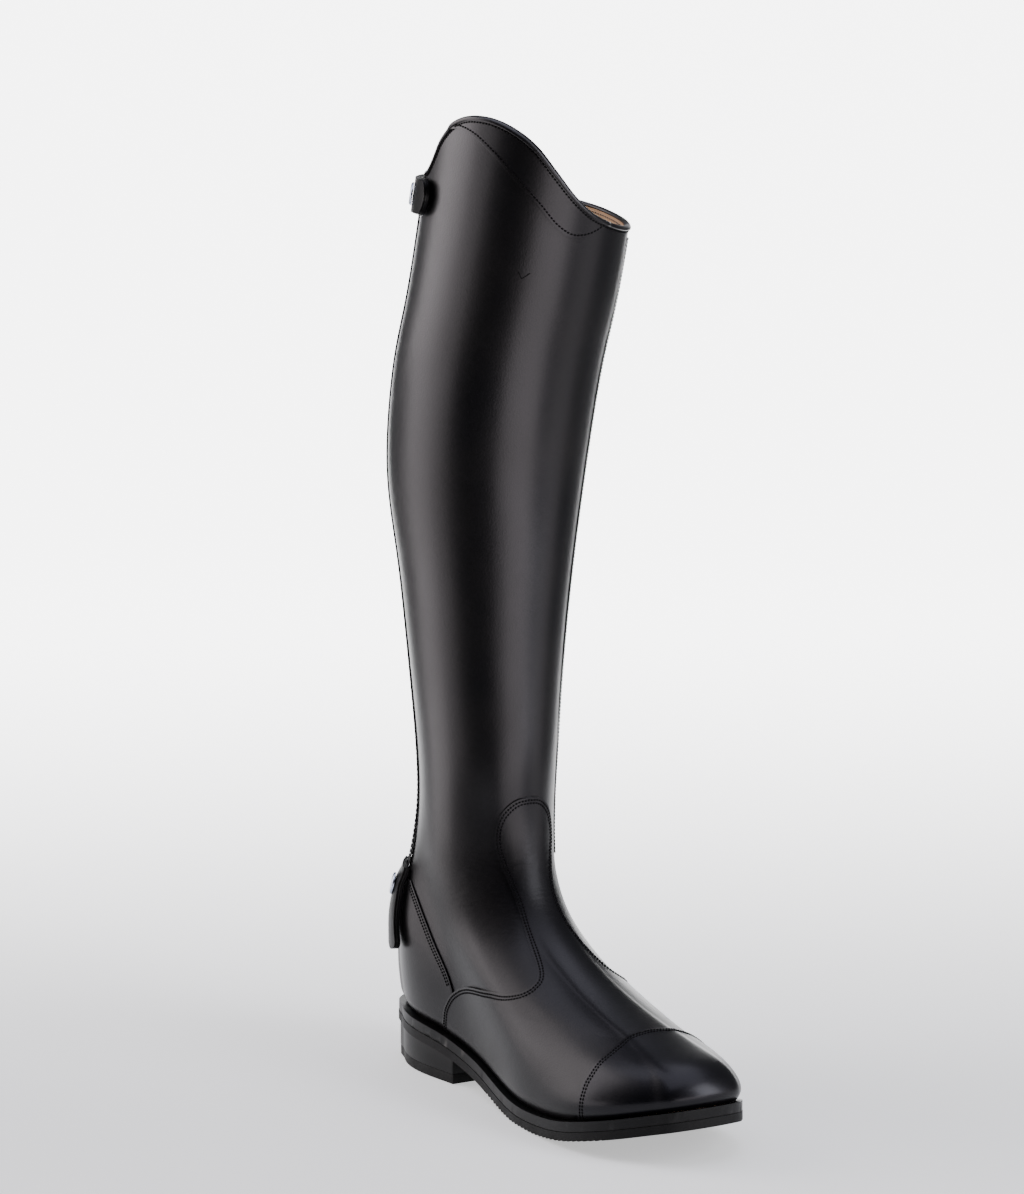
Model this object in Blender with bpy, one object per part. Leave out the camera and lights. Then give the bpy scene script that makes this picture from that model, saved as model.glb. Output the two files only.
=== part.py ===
"""A tall leather riding boot for the right foot, with its zip at the outer back.

The upper is one hollow wall, drawn through closed loops that climb from the feather line, where the
sole closes it, over the last's foot and up the leg to a collar that rises on the outer side.
Every panel is a thin shell of that same wall, cut to its outline, and the sole is a stack of slabs
on the feather line. Lengths are in millimetres until a mesh is made. s is the distance from
the back of the heel towards the toe, x grows to the inner side of the foot and z grows upwards.
"""
import math

import bmesh
import bpy
import numpy as np
from mathutils import Matrix, Vector

MM = 0.001

# Place of the frame's origin: under the middle of the boot's box
FRAME_S = 139.694
FRAME_X = 13.8115

# Thicknesses and clearances
WALL = 2.4
GAP = 0.3
FACET_GAP = 0.2          # added where pieces with different facets lie close
PANEL = 1.2
TOE_CAP = 1.9
TAB = 3.4
ZIP = 1.2
ZIP_OUT = GAP + FACET_GAP

# The foot: each loop runs from a point on the back line to a point on the front line.
# heel, waist, ball and toe are half breadths at four stations along the loop, and follow says how
# much of the feather line's rise and fall the loop takes over.
FOOT_LOOPS = (
    # name      back_s back_z front_s front_z heel waist ball  toe  follow
    ("feather", 4.0, 31.5, 284.4, 30.0, 30.0, 29.0, 42.0, 27.0, 1.00),
    ("bulge", 2.5, 42.0, 284.0, 39.5, 31.5, 31.0, 44.0, 27.0, 0.85),
    ("toe_box", 2.0, 56.0, 272.0, 51.2, 32.5, 33.0, 42.5, 22.5, 0.60),
    ("cap", 3.0, 72.0, 240.0, 60.0, 32.0, 34.0, 38.0, 17.0, 0.30),
    ("vamp", 6.5, 90.0, 186.5, 74.0, 31.0, 34.5, 34.0, 14.5, 0.10),
    ("instep", 12.5, 109.0, 144.0, 93.0, 27.0, 34.0, 32.0, 13.5, 0.00),
    ("throat", 19.0, 130.0, 122.0, 119.0, 23.0, 34.0, 32.0, 13.5, 0.00),
    ("ankle", 23.0, 155.0, 116.5, 152.0, 21.0, 34.3, 32.7, 14.5, 0.00),
)
STATIONS = np.array([0.10, 0.40, 0.68, 0.95])

# The leg: level ellipses, with lean for how far the middle stands to the inner side
LEG_LOOPS = (
    # name       z     back_s front_s half_breadth lean
    ("low_leg", 185.0, 23.0, 117.0, 36.0, 0.0),
    ("leg", 230.0, 16.0, 115.0, 40.0, 2.0),
    ("under_calf", 285.0, 4.5, 115.0, 45.5, 5.0),
    ("calf", 340.0, -8.5, 117.0, 52.5, 8.0),
    ("over_calf", 400.0, -2.0, 126.0, 55.5, 11.0),
    ("knee", 450.0, 10.0, 138.5, 55.5, 15.5),
    ("top", 550.0, 27.0, 161.0, 54.5, 21.0),
)

# Top of the sole, seen from the side: seat, arch, ball and toe spring
FEATHER_LINE = (
    # s, z
    (0.0, 31.5), (40.0, 30.5), (75.0, 27.5), (110.0, 19.5), (145.0, 12.6),
    (165.0, 10.6), (190.0, 10.6), (215.0, 13.0), (245.0, 19.5), (288.0, 31.5),
)

# Height of the collar round the leg: 0 is the front, -90 the outer side, 180 the back
COLLAR_LINE = (
    # degrees, z
    (-180, 497.0), (-150, 502.0), (-130, 505.5), (-118, 507.0), (-109, 510.0), (-103, 516.5), (-98, 525.0),
    (-92, 531.5), (-80, 538.5), (-66, 539.5), (-50, 534.5), (-36, 525.0), (-23, 511.0), (-12, 499.0),
    (0, 489.0), (14, 482.5), (30, 478.5), (50, 477.0), (75, 479.5), (105, 485.0), (140, 491.5),
    (180, 497.0),
)

TOE_SWING = 12.0         # how far the toe turns to the inner side
SWING_START = 90.0       # where that turn begins
SWING_LENGTH = 210.0
BALL_SKEW = 0.03         # the inner ball joint lies further forward than the outer one
SKEW_TOP_LEVEL = 3.5
FOOT_TOP_LEVEL = 7.0     # swing and fullness fade out up to this loop
FOOT_FADE = 4.0
HEEL_FULL = 0.28         # extra roundness behind the first station
TOE_FULL = 0.26          # and in front of the last one, for a softly square toe
COLLAR_BASE = 9.0        # loop above which the levels bend towards the collar
ROUND_STEPS = 42         # facets round the upper
LEVEL_STEP = 0.5         # levels between two loops of the foot
COLLAR_STEPS = 10        # levels between the leg loop and the collar
TINY = 0.002             # step for directions along the surface
SMOOTH_ANGLE = 40.0

# Panel edges, seen from the side
VAMP_EDGE = (
    # s, z
    (118.0, 167.0), (114.8, 162.5), (111.6, 154.0), (110.6, 143.0), (113.2, 129.0), (120.5, 114.0),
    (131.0, 100.0), (144.5, 88.0), (157.0, 79.3), (161.6, 74.2), (160.0, 69.0), (151.5, 66.4),
    (134.0, 65.6), (108.5, 61.6), (93.5, 54.7), (84.5, 45.2), (77.0, 30.0),
)
COUNTER_EDGE = (
    # s, z
    (43.5, 109.0), (50.8, 102.8), (58.0, 95.8), (65.4, 88.0), (73.0, 80.0), (80.2, 71.5), (86.4, 63.0),
    (90.8, 56.0),
)
VAMP_STEPS = 44
COUNTER_STEPS = 14
CUTTER_REACH = 90.0
PANEL_BLANKS = {
    # name: first degree, last degree, first level, last level
    "vamp": (-126.0, 126.0, 0, 18),
    "toe_cap": (-90.0, 90.0, 0, 9),
    "heel_counter": (72.0, 288.0, 0, 14),
    "top_band": (-117.0, 36.0, -4, None),
}
PANEL_LOW_LEVEL = 0.06   # panels stop just above the welt
ACROSS = (1.0, 0.0, 0.0)
BELOW_EDGE = (-1.5, -12.0)
TONGUE_OVER = (6.0, 2.0)
CURL_BELOW = 3.0         # the counter meets the vamp's curl this far under its own edge
BEHIND_S = -40.0
TOE_CAP_S = 231.5        # the cap's edge crosses the middle here
TOE_CAP_TURN = -0.12     # and runs backwards to the inner side
TOE_CAP_HEIGHT = 120.0

# Lower edge of the band under the collar
BAND_EDGE = (
    # degrees, z
    (-93, 534.0), (-81, 535.0), (-71, 531.9), (-57, 522.0), (-43, 508.5), (-30, 495.5),
    (-18, 482.8), (-9, 477.1), (1, 476.6), (9, 479.3), (16, 484.0),
)
BAND_FACING = -45.0      # the band is cut along this direction
BAND_STEPS = 28
BAND_HEADROOM = 80.0

# Zip and tabs at the outer back
ZIP_PHI = -136.0
ZIP_WIDTH = 14.0
ZIP_LOW_LEVEL = 5.22
ZIP_TOP_GAP = 0.03       # levels left free under the collar
ZIP_STEPS = 26
TAB_PHI = (-98.0, -150.0)
TAB_HEIGHT = (485.0, 505.5)
TAB_SNAP_PHI = -123.0
TAB_COLUMNS = 9
TAB_ROWS = 4
GUARD_WIDTH = 24.0
GUARD_LEVELS = (5.42, 2.9)
GUARD_STEPS = 9
GUARD_LIFT = 0.5
GUARD_KICK = 1.4
GUARD_SNAP = 2           # the step of the guard that carries its snap
SNAP_RADIUS = 6.5
SNAP_DEPTH = 1.8
SNAP_TAPER = 0.75
SNAP_SEGMENTS = 20

# Sole: out is measured from the feather line, drop below it
WELT_SIDE = (
    # out, drop
    (2.2, 0.3), (3.4, 1.4), (3.4, 4.2), (2.6, 5.3),
)
OUTSOLE_SIDE = (
    # out, drop
    (2.6, 5.6), (3.6, 6.5), (3.6, 9.7), (3.0, 10.6),
)
SOLE_STEPS = 56
INSOLE_INSET = WALL + 0.6
INSOLE_THICK = 3.0
BREAST_S = 88.0
HEEL_STEPS = 19
HEEL_TOP_DROP = 10.9
LIFT_THICK = 5.5
LIFT_OUT = 2.2
HEEL_TOP_OUT = 2.8
HEEL_LOW_OUT = 1.9
RIB_FIRST_S = 128.0
RIB_LAST_S = 254.0
RIB_PITCH = 4.0
RIB_GROOVE = 1.5
RIB_DEPTH = 1.5
RIB_BAR_WIDTH = 140.0
RIB_BAR_DEPTH = 6.0

# Rolled binding on the collar: out from the wall's face, up from its edge
BINDING_SECTION = (
    # out, up
    (1.2, 0.4), (1.3, 1.9), (0.2, 3.1), (-2.6, 3.1), (-3.7, 1.9), (-3.6, 0.4),
)


def spline(knots, values, at):
    """Smooth curve through the values at the knots, held at its ends."""
    knots = np.asarray(knots, float)
    values = np.asarray(values, float)
    if values.ndim == 1:
        return spline(knots, values[:, None], at)[..., 0]
    steps = np.diff(knots)
    slopes = np.diff(values, axis=0) / steps[:, None]
    tangents = np.empty_like(values)
    tangents[0] = slopes[0]
    tangents[-1] = slopes[-1]
    weights = steps[:-1] + steps[1:]
    tangents[1:-1] = (slopes[:-1] * steps[1:, None] + slopes[1:] * steps[:-1, None]) / weights[:, None]
    at = np.clip(np.asarray(at, float), knots[0], knots[-1])
    index = np.clip(np.searchsorted(knots, at, side="right") - 1, 0, len(knots) - 2)
    step = steps[index][..., None]
    u = ((at - knots[index]) / steps[index])[..., None]
    start = values[index] * (2 * u ** 3 - 3 * u ** 2 + 1) + tangents[index] * step * (u ** 3 - 2 * u ** 2 + u)
    end = values[index + 1] * (3 * u ** 2 - 2 * u ** 3) + tangents[index + 1] * step * (u ** 3 - u ** 2)
    return start + end


def ease(u):
    """Smooth rise from 0 to 1."""
    u = np.clip(u, 0.0, 1.0)
    return u * u * (3.0 - 2.0 * u)


def loop_rows():
    """One row of numbers for each loop, with its half breadths turned into an ellipse's."""
    roundness = 2.0 * np.sqrt(STATIONS * (1.0 - STATIONS))
    rows = []
    for _, back_s, back_z, front_s, front_z, heel, waist, ball, toe, follow in FOOT_LOOPS:
        breadths = np.array([heel, waist, ball, toe]) / roundness
        rows.append([back_s, back_z, front_s, front_z, *breadths, follow, 0.0])
    for _, z, back_s, front_s, breadth, lean in LEG_LOOPS:
        rows.append([back_s, z, front_s, z, breadth, breadth, breadth, breadth, 0.0, lean])
    return np.array(rows)


ROWS = loop_rows()
LAST_LEVEL = len(ROWS) - 1.0


def feather_z(s):
    """Height of the top of the sole."""
    line = np.array(FEATHER_LINE)
    return spline(line[:, 0], line[:, 1], s)


def breadth_along(along, breadths):
    """Half breadth between the four stations, level at both ends."""
    widths = np.diff(STATIONS)
    slopes = np.diff(breadths, axis=-1) / widths
    tangents = np.zeros_like(breadths)
    for k in (1, 2):
        total = widths[k - 1] + widths[k]
        tangents[..., k] = (slopes[..., k - 1] * widths[k] + slopes[..., k] * widths[k - 1]) / total
    along = np.clip(along, STATIONS[0], STATIONS[-1])
    result = np.zeros_like(along)
    for k in range(3):
        u = (along - STATIONS[k]) / widths[k]
        inside = (u >= 0.0) & (u <= 1.0)
        value = breadths[..., k] * (2 * u ** 3 - 3 * u ** 2 + 1)
        value = value + breadths[..., k + 1] * (3 * u ** 2 - 2 * u ** 3)
        value = value + tangents[..., k] * widths[k] * (u ** 3 - 2 * u ** 2 + u)
        value = value + tangents[..., k + 1] * widths[k] * (u ** 3 - u ** 2)
        result = np.where(inside, value, result)
    return result


def surface(phi, level):
    """Outer face of the upper: phi runs round the loop from the front, level counts the loops."""
    phi, level = np.broadcast_arrays(np.asarray(phi, float), np.asarray(level, float))
    row = spline(np.arange(len(ROWS)), ROWS, level)
    back_s, back_z, front_s, front_z = (row[..., k] for k in range(4))
    along = (1.0 + np.cos(phi)) / 2.0
    low = np.clip(1.0 - level / SKEW_TOP_LEVEL, 0.0, 1.0)
    foot = np.clip((FOOT_TOP_LEVEL - level) / FOOT_FADE, 0.0, 1.0)
    across = np.sin(phi)
    skewed = np.clip(along - np.sign(across) * BALL_SKEW * ease(np.abs(across)) * low, 0.0, 1.0)
    s = back_s + (front_s - back_s) * along
    sole_share = np.clip((s - ROWS[0, 0]) / (ROWS[0, 2] - ROWS[0, 0]), 0.0, 1.0)
    straight = ROWS[0, 1] + (ROWS[0, 3] - ROWS[0, 1]) * sole_share
    follow = np.clip(row[..., 8], 0.0, 1.0)
    z = back_z + (front_z - back_z) * along + follow * (feather_z(s) - straight)
    swing = TOE_SWING * ease((s - SWING_START) / SWING_LENGTH) * foot
    full = HEEL_FULL * ease(1.0 - along / STATIONS[0])
    full = full + TOE_FULL * ease((along - STATIONS[-1]) / (1.0 - STATIONS[-1]))
    breadth = breadth_along(skewed, row[..., 4:8]) * (1.0 + full * foot)
    x = across * breadth + swing + row[..., 9]
    return np.stack([x, s, z], -1)


def tangents_at(phi, level):
    """Unit directions round the loop and up the wall."""
    round_way = surface(phi + TINY, level) - surface(phi - TINY, level)
    above = surface(phi, np.minimum(level + TINY, LAST_LEVEL))
    up_way = above - surface(phi, np.maximum(level - TINY, 0.0))
    round_way /= np.linalg.norm(round_way, axis=-1, keepdims=True)
    up_way /= np.linalg.norm(up_way, axis=-1, keepdims=True)
    return round_way, up_way


def skin(phi, level, out):
    """A point at the given distance outside the upper's outer face."""
    phi, level = np.broadcast_arrays(np.asarray(phi, float), np.asarray(level, float))
    round_way, up_way = tangents_at(phi, level)
    normal = np.cross(up_way, round_way)
    normal /= np.linalg.norm(normal, axis=-1, keepdims=True)
    outward = np.stack([np.sin(phi), np.cos(phi), np.zeros_like(phi)], -1)
    side = np.sign(np.sum(normal * outward, axis=-1, keepdims=True))
    return surface(phi, level) + normal * side * np.asarray(out)[..., None]


def leg_level(z):
    """Level of a height on the leg, where the loops lie flat."""
    levels = np.linspace(COLLAR_BASE, LAST_LEVEL, 400)
    heights = spline(np.arange(len(ROWS)), ROWS[:, 1], levels)
    return np.interp(z, heights, levels)


def collar_z(phi):
    """Height of the collar, the same after a full turn."""
    line = np.array(COLLAR_LINE)
    knots = np.concatenate([line[:-1, 0] - 360.0, line[:, 0], line[1:, 0] + 360.0])
    heights = np.concatenate([line[:-1, 1], line[:, 1], line[1:, 1]])
    return spline(knots, heights, np.degrees(phi))


def wall_levels(phi):
    """Levels of the upper's grid at each phi, from the feather line to the collar."""
    low = np.arange(0.0, COLLAR_BASE, LEVEL_STEP)
    share = np.linspace(0.0, 1.0, COLLAR_STEPS + 1)
    top = leg_level(collar_z(phi))
    high = COLLAR_BASE + (top[:, None] - COLLAR_BASE) * share
    return np.concatenate([np.broadcast_to(low, (len(phi), len(low))), high], axis=1)


ROUND_PHI = np.linspace(-math.pi, math.pi, ROUND_STEPS, endpoint=False)


def place(points):
    """Points of the boot as vertex places in the frame, in metres."""
    x, s, z = (points[..., k] for k in range(3))
    return np.stack([x - FRAME_X, FRAME_S - s, z], -1) * MM


def make_material(name, colour, roughness, metallic=0.0):
    """A plain finish."""
    material = bpy.data.materials.new(name)
    material.use_nodes = True
    shader = material.node_tree.nodes["Principled BSDF"]
    shader.inputs["Base Color"].default_value = (*colour, 1.0)
    shader.inputs["Roughness"].default_value = roughness
    shader.inputs["Metallic"].default_value = metallic
    return material


def make_object(name, bm, material):
    """A named object with the finished mesh, its faces pointing out."""
    bmesh.ops.recalc_face_normals(bm, faces=bm.faces)
    mesh = bpy.data.meshes.new(name)
    bm.to_mesh(mesh)
    bm.free()
    mesh.shade_smooth()
    mesh.set_sharp_from_angle(angle=math.radians(SMOOTH_ANGLE))
    item = bpy.data.objects.new(name, mesh)
    bpy.context.scene.collection.objects.link(item)
    if material is not None:
        mesh.materials.append(material)
    return item


def add_points(bm, points):
    """Vertices for a grid of points, as nested lists."""
    return [[bm.verts.new(Vector(point)) for point in line] for line in place(points)]


def patch(bm, a, b, c, d):
    """A four-sided patch, split from a to c so that neighbouring skins bend along the same lines."""
    bm.faces.new((a, b, c))
    bm.faces.new((a, c, d))


def loft(bm, rings, closed):
    """Faces between closed rings of points, and from the last ring to the first if closed."""
    lines = add_points(bm, rings)
    count = len(lines[0])
    pairs = list(zip(lines[:-1], lines[1:]))
    if closed:
        pairs.append((lines[-1], lines[0]))
    for low, high in pairs:
        for k in range(count):
            following = (k + 1) % count
            patch(bm, low[k], low[following], high[following], high[k])
    return lines


def shell(bm, inner, outer):
    """A closed plate between two grids of points."""
    below = add_points(bm, inner)
    above = add_points(bm, outer)
    rows = len(below)
    columns = len(below[0])
    for i in range(rows - 1):
        for j in range(columns - 1):
            patch(bm, above[i][j], above[i + 1][j], above[i + 1][j + 1], above[i][j + 1])
            patch(bm, below[i][j], below[i + 1][j], below[i + 1][j + 1], below[i][j + 1])
    for i in (0, rows - 1):
        for j in range(columns - 1):
            bm.faces.new((above[i][j], above[i][j + 1], below[i][j + 1], below[i][j]))
    for j in (0, columns - 1):
        for i in range(rows - 1):
            bm.faces.new((above[i][j], above[i + 1][j], below[i + 1][j], below[i][j]))


def cap(bm, ring):
    """Closes a ring that mirrors about its middle with a strip of faces across it."""
    half = len(ring) // 2
    for k in range(half):
        corners = (ring[k], ring[k + 1], ring[-k - 2], ring[-k - 1])
        distinct = list(dict.fromkeys(corners))
        if len(distinct) > 2:
            bm.faces.new(distinct)


def fine_curve(rows, count):
    """Points along a smooth curve through the rows of a short table."""
    rows = np.array(rows, float)
    lengths = np.concatenate([[0.0], np.cumsum(np.linalg.norm(np.diff(rows, axis=0), axis=1))])
    return spline(lengths, rows, np.linspace(0.0, lengths[-1], count))


def prism(name, outline, direction, reach):
    """A cutter: a flat outline of points, pushed both ways along a direction."""
    bm = bmesh.new()
    way = np.array(direction) * reach
    near = [bm.verts.new(Vector(point)) for point in place(np.array(outline) - way)]
    face = bm.faces.new(near)
    pushed = bmesh.ops.extrude_face_region(bm, geom=[face])["geom"]
    moved = [item for item in pushed if isinstance(item, bmesh.types.BMVert)]
    step = place(2.0 * way) - place(np.zeros(3))
    bmesh.ops.translate(bm, verts=moved, vec=Vector(step))
    cutter = make_object(name, bm, None)
    cutter.hide_render = True
    cutter.display_type = "WIRE"
    return cutter


def cut(item, cutter, operation):
    """Cuts an object with a cutter."""
    modifier = item.modifiers.new(cutter.name, "BOOLEAN")
    modifier.operation = operation
    modifier.object = cutter


def make_upper(leather):
    """The hollow wall, open at the collar and underneath."""
    levels = wall_levels(ROUND_PHI)
    outer = skin(ROUND_PHI[:, None], levels, np.zeros_like(levels))
    inner = skin(ROUND_PHI[:, None], levels, np.full_like(levels, -WALL))
    rings = np.concatenate([outer, inner[:, ::-1]], axis=1).transpose(1, 0, 2)
    bm = bmesh.new()
    loft(bm, rings, closed=True)
    return make_object("upper", bm, leather)


def panel_blank(name, thickness, leather):
    """A plate over part of the upper, on the upper's own grid so that the faces lie parallel."""
    first_degree, last_degree, first_level, last_level = PANEL_BLANKS[name]
    step = 360.0 / ROUND_STEPS
    degrees = np.arange(round(first_degree / step), round(last_degree / step) + 1) * step
    phi = np.radians(degrees)
    levels = np.maximum(wall_levels(phi)[:, first_level:last_level], PANEL_LOW_LEVEL)
    inner = skin(phi[:, None], levels, np.full_like(levels, GAP))
    outer = skin(phi[:, None], levels, np.full_like(levels, GAP + thickness))
    bm = bmesh.new()
    shell(bm, inner, outer)
    return make_object(name, bm, leather)


def side_points(rows):
    """Rows of s and z as points on the boot's middle plane."""
    rows = np.array(rows, float)
    return np.stack([np.zeros(len(rows)), rows[:, 0], rows[:, 1]], -1)


def make_vamp(leather):
    """The foot's front panel, with a round tongue up the ankle, and the toe cap in front of it."""
    edge = fine_curve(VAMP_EDGE, VAMP_STEPS)
    low = edge[-1] + np.array(BELOW_EDGE)
    front_s = TOE_CAP_S + CUTTER_REACH
    top = edge[0] + np.array(TONGUE_OVER)
    outline = np.concatenate([edge, [low, (front_s, 0.0), (front_s, top[1]), top]])
    vamp = panel_blank("vamp", PANEL, leather)
    cut(vamp, prism("vamp_cutter", side_points(outline), ACROSS, CUTTER_REACH), "INTERSECT")
    turned = (1.0, TOE_CAP_TURN, 0.0)
    cut(vamp, prism("vamp_front_cutter", cap_box(-GAP / 2.0), turned, CUTTER_REACH), "DIFFERENCE")
    toe_cap = panel_blank("toe_cap", TOE_CAP, leather)
    cut(toe_cap, prism("toe_cap_cutter", cap_box(GAP / 2.0), turned, CUTTER_REACH), "INTERSECT")


def cap_box(shift):
    """Side view of all that lies in front of the toe cap's edge."""
    back = TOE_CAP_S + shift
    front = back + CUTTER_REACH
    return side_points(((back, 0.0), (front, 0.0), (front, TOE_CAP_HEIGHT), (back, TOE_CAP_HEIGHT)))


def make_heel_counter(leather):
    """The stiff panel round the heel, whose lower front runs under the vamp's curled end."""
    edge = fine_curve(COUNTER_EDGE, COUNTER_STEPS)
    vamp_edge = fine_curve(VAMP_EDGE, VAMP_STEPS)
    curl = vamp_edge[vamp_edge[:, 1] < COUNTER_EDGE[-1][1] - CURL_BELOW] - np.array([GAP + FACET_GAP, 0.0])
    low = curl[-1] + np.array(BELOW_EDGE)
    behind = np.array([[BEHIND_S, low[1]], [BEHIND_S, COUNTER_EDGE[0][1]]])
    outline = np.concatenate([edge, curl, [low], behind])
    counter = panel_blank("heel_counter", PANEL, leather)
    cut(counter, prism("counter_cutter", side_points(outline), ACROSS, CUTTER_REACH), "INTERSECT")


def make_top_band(leather):
    """The crescent under the collar on the outer side, bare of any mark."""
    rows = np.array(BAND_EDGE, float)
    fine = spline(np.arange(len(rows)), rows, np.linspace(0, len(rows) - 1, BAND_STEPS))
    phi = np.radians(fine[:, 0])
    heights = fine[:, 1]
    edge = skin(phi, leg_level(heights), np.full_like(phi, GAP + PANEL))
    facing = np.array([math.sin(math.radians(BAND_FACING)), math.cos(math.radians(BAND_FACING)), 0.0])
    middle = edge.mean(axis=0)
    flat = edge - ((edge - middle) @ facing)[:, None] * facing
    over = np.array([0.0, 0.0, BAND_HEADROOM])
    outline = np.concatenate([flat, [flat[-1] + over, flat[0] + over]])
    band = panel_blank("top_band", PANEL, leather)
    cut(band, prism("band_cutter", outline, facing, CUTTER_REACH), "INTERSECT")


def make_binding(leather):
    """The rolled edge along the collar."""
    level = leg_level(collar_z(ROUND_PHI))
    edge = surface(ROUND_PHI, level)
    _, up_way = tangents_at(ROUND_PHI, level)
    outward = skin(ROUND_PHI, level, np.ones_like(ROUND_PHI)) - edge
    rings = [edge + outward * out + up_way * up for out, up in BINDING_SECTION]
    bm = bmesh.new()
    loft(bm, np.array(rings).transpose(1, 0, 2), closed=True)
    make_object("collar_binding", bm, leather)


def strip(name, phi_middle, width, levels, inner_out, thickness, material, columns=3):
    """A strip of constant width that lies up the wall; inner_out is its clearance at each level."""
    middle = np.full_like(levels, math.radians(phi_middle))
    round_way = surface(middle + TINY, levels) - surface(middle - TINY, levels)
    reach = np.linalg.norm(round_way, axis=-1) / (2.0 * TINY)
    across = np.linspace(-0.5, 0.5, columns) * width
    phi = middle[:, None] + across / reach[:, None]
    grid = np.broadcast_to(levels[:, None], phi.shape)
    clearance = np.broadcast_to(inner_out[:, None], phi.shape)
    bm = bmesh.new()
    shell(bm, skin(phi, grid, clearance), skin(phi, grid, clearance + thickness))
    return make_object(name, bm, material)


def make_snap(name, phi_degrees, level, out, steel):
    """A low press-stud cap, square to the wall."""
    phi = math.radians(phi_degrees)
    foot = skin(phi, level, np.array(out + ZIP_OUT))
    above = skin(phi, level, np.array(out + ZIP_OUT + 1.0))
    normal = Vector(place(above) - place(foot)).normalized()
    turn = normal.to_track_quat("Z", "Y").to_matrix().to_4x4()
    middle = Vector(place(foot)) + normal * SNAP_DEPTH * MM / 2.0
    bm = bmesh.new()
    bmesh.ops.create_cone(bm, cap_ends=True, segments=SNAP_SEGMENTS, radius1=SNAP_RADIUS * MM,
                          radius2=SNAP_RADIUS * SNAP_TAPER * MM, depth=SNAP_DEPTH * MM,
                          matrix=Matrix.Translation(middle) @ turn)
    make_object(name, bm, steel)


def make_zip(leather, tape, steel):
    """The closed zip at the outer back, with a tab over its top end and a guard over its low end."""
    top = leg_level(collar_z(np.radians(np.array([ZIP_PHI]))))[0] - ZIP_TOP_GAP
    levels = np.linspace(ZIP_LOW_LEVEL, top, ZIP_STEPS)
    strip("back_zip", ZIP_PHI, ZIP_WIDTH, levels, np.full_like(levels, ZIP_OUT), ZIP, tape)

    tab_out = ZIP_OUT + ZIP + ZIP_OUT
    tab_levels = leg_level(np.linspace(*TAB_HEIGHT, TAB_ROWS))
    phi = np.radians(np.linspace(*TAB_PHI, TAB_COLUMNS))
    grid_phi, grid_level = np.meshgrid(phi, tab_levels, indexing="ij")
    bm = bmesh.new()
    shell(bm, skin(grid_phi, grid_level, np.full_like(grid_phi, tab_out)),
          skin(grid_phi, grid_level, np.full_like(grid_phi, tab_out + TAB)))
    make_object("top_tab", bm, leather)
    make_snap("top_tab_snap", TAB_SNAP_PHI, tab_levels.mean(), tab_out + TAB, steel)

    guard_levels = np.linspace(*GUARD_LEVELS, GUARD_STEPS)
    share = np.linspace(0.0, 1.0, len(guard_levels))
    guard_out = tab_out + GUARD_LIFT + GUARD_KICK * share ** 2
    strip("zip_guard", ZIP_PHI, GUARD_WIDTH, guard_levels, guard_out, TAB, leather)
    make_snap("zip_guard_snap", ZIP_PHI, guard_levels[GUARD_SNAP], guard_out[GUARD_SNAP] + TAB, steel)


def sole_ring(phi, out):
    """The feather line in plan, moved outwards by the given distance."""
    base = surface(phi, 0.0)
    way = surface(phi + TINY, 0.0) - surface(phi - TINY, 0.0)
    normal = np.stack([way[..., 1], -way[..., 0]], -1)
    normal /= np.linalg.norm(normal, axis=-1, keepdims=True)
    outward = np.stack([np.sin(phi), np.cos(phi)], -1)
    normal *= np.sign(np.sum(normal * outward, axis=-1, keepdims=True))
    ring = base.copy()
    ring[..., :2] += normal * out
    return ring


def slab(name, sides, material):
    """A closed slab from rows of rings, capped above and below."""
    bm = bmesh.new()
    lines = loft(bm, np.array(sides), closed=False)
    cap(bm, lines[0])
    cap(bm, lines[-1])
    return make_object(name, bm, material)


def dropped(phi, out, drop):
    """A ring of the sole at a drop below the feather line, never under the floor."""
    ring = sole_ring(phi, out)
    ring[..., 2] = np.maximum(surface(phi, 0.0)[..., 2] - drop, 0.0)
    return ring


def flat(phi, out, z):
    """A ring of the heel at one height."""
    ring = sole_ring(phi, out)
    ring[..., 2] = z
    return ring


def make_sole(leather, rubber, lining):
    """Insole, welt, ribbed outsole, heel block and top lift."""
    half_step = math.pi / SOLE_STEPS
    phi = np.linspace(-math.pi, math.pi, SOLE_STEPS, endpoint=False) + half_step
    insole = [dropped(phi, -INSOLE_INSET, drop) for drop in (-INSOLE_THICK, 0.0)]
    slab("insole", insole, lining)
    slab("welt", [dropped(phi, out, drop) for out, drop in WELT_SIDE], leather)
    outsole = slab("outsole", [dropped(phi, out, drop) for out, drop in OUTSOLE_SIDE], rubber)
    cut(outsole, make_rib_cutter(), "DIFFERENCE")

    share = (BREAST_S - ROWS[0, 0]) / (ROWS[0, 2] - ROWS[0, 0])
    breast = math.acos(2.0 * share - 1.0)
    heel_phi = np.linspace(breast, 2.0 * math.pi - breast, HEEL_STEPS)
    heel_phi = np.where(heel_phi > math.pi, heel_phi - 2.0 * math.pi, heel_phi)
    top = dropped(heel_phi, HEEL_TOP_OUT, HEEL_TOP_DROP)
    slab("heel_block", [top, flat(heel_phi, HEEL_LOW_OUT, LIFT_THICK + GAP)], leather)
    slab("top_lift", [flat(heel_phi, LIFT_OUT, z) for z in (LIFT_THICK, 0.0)], rubber)


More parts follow.
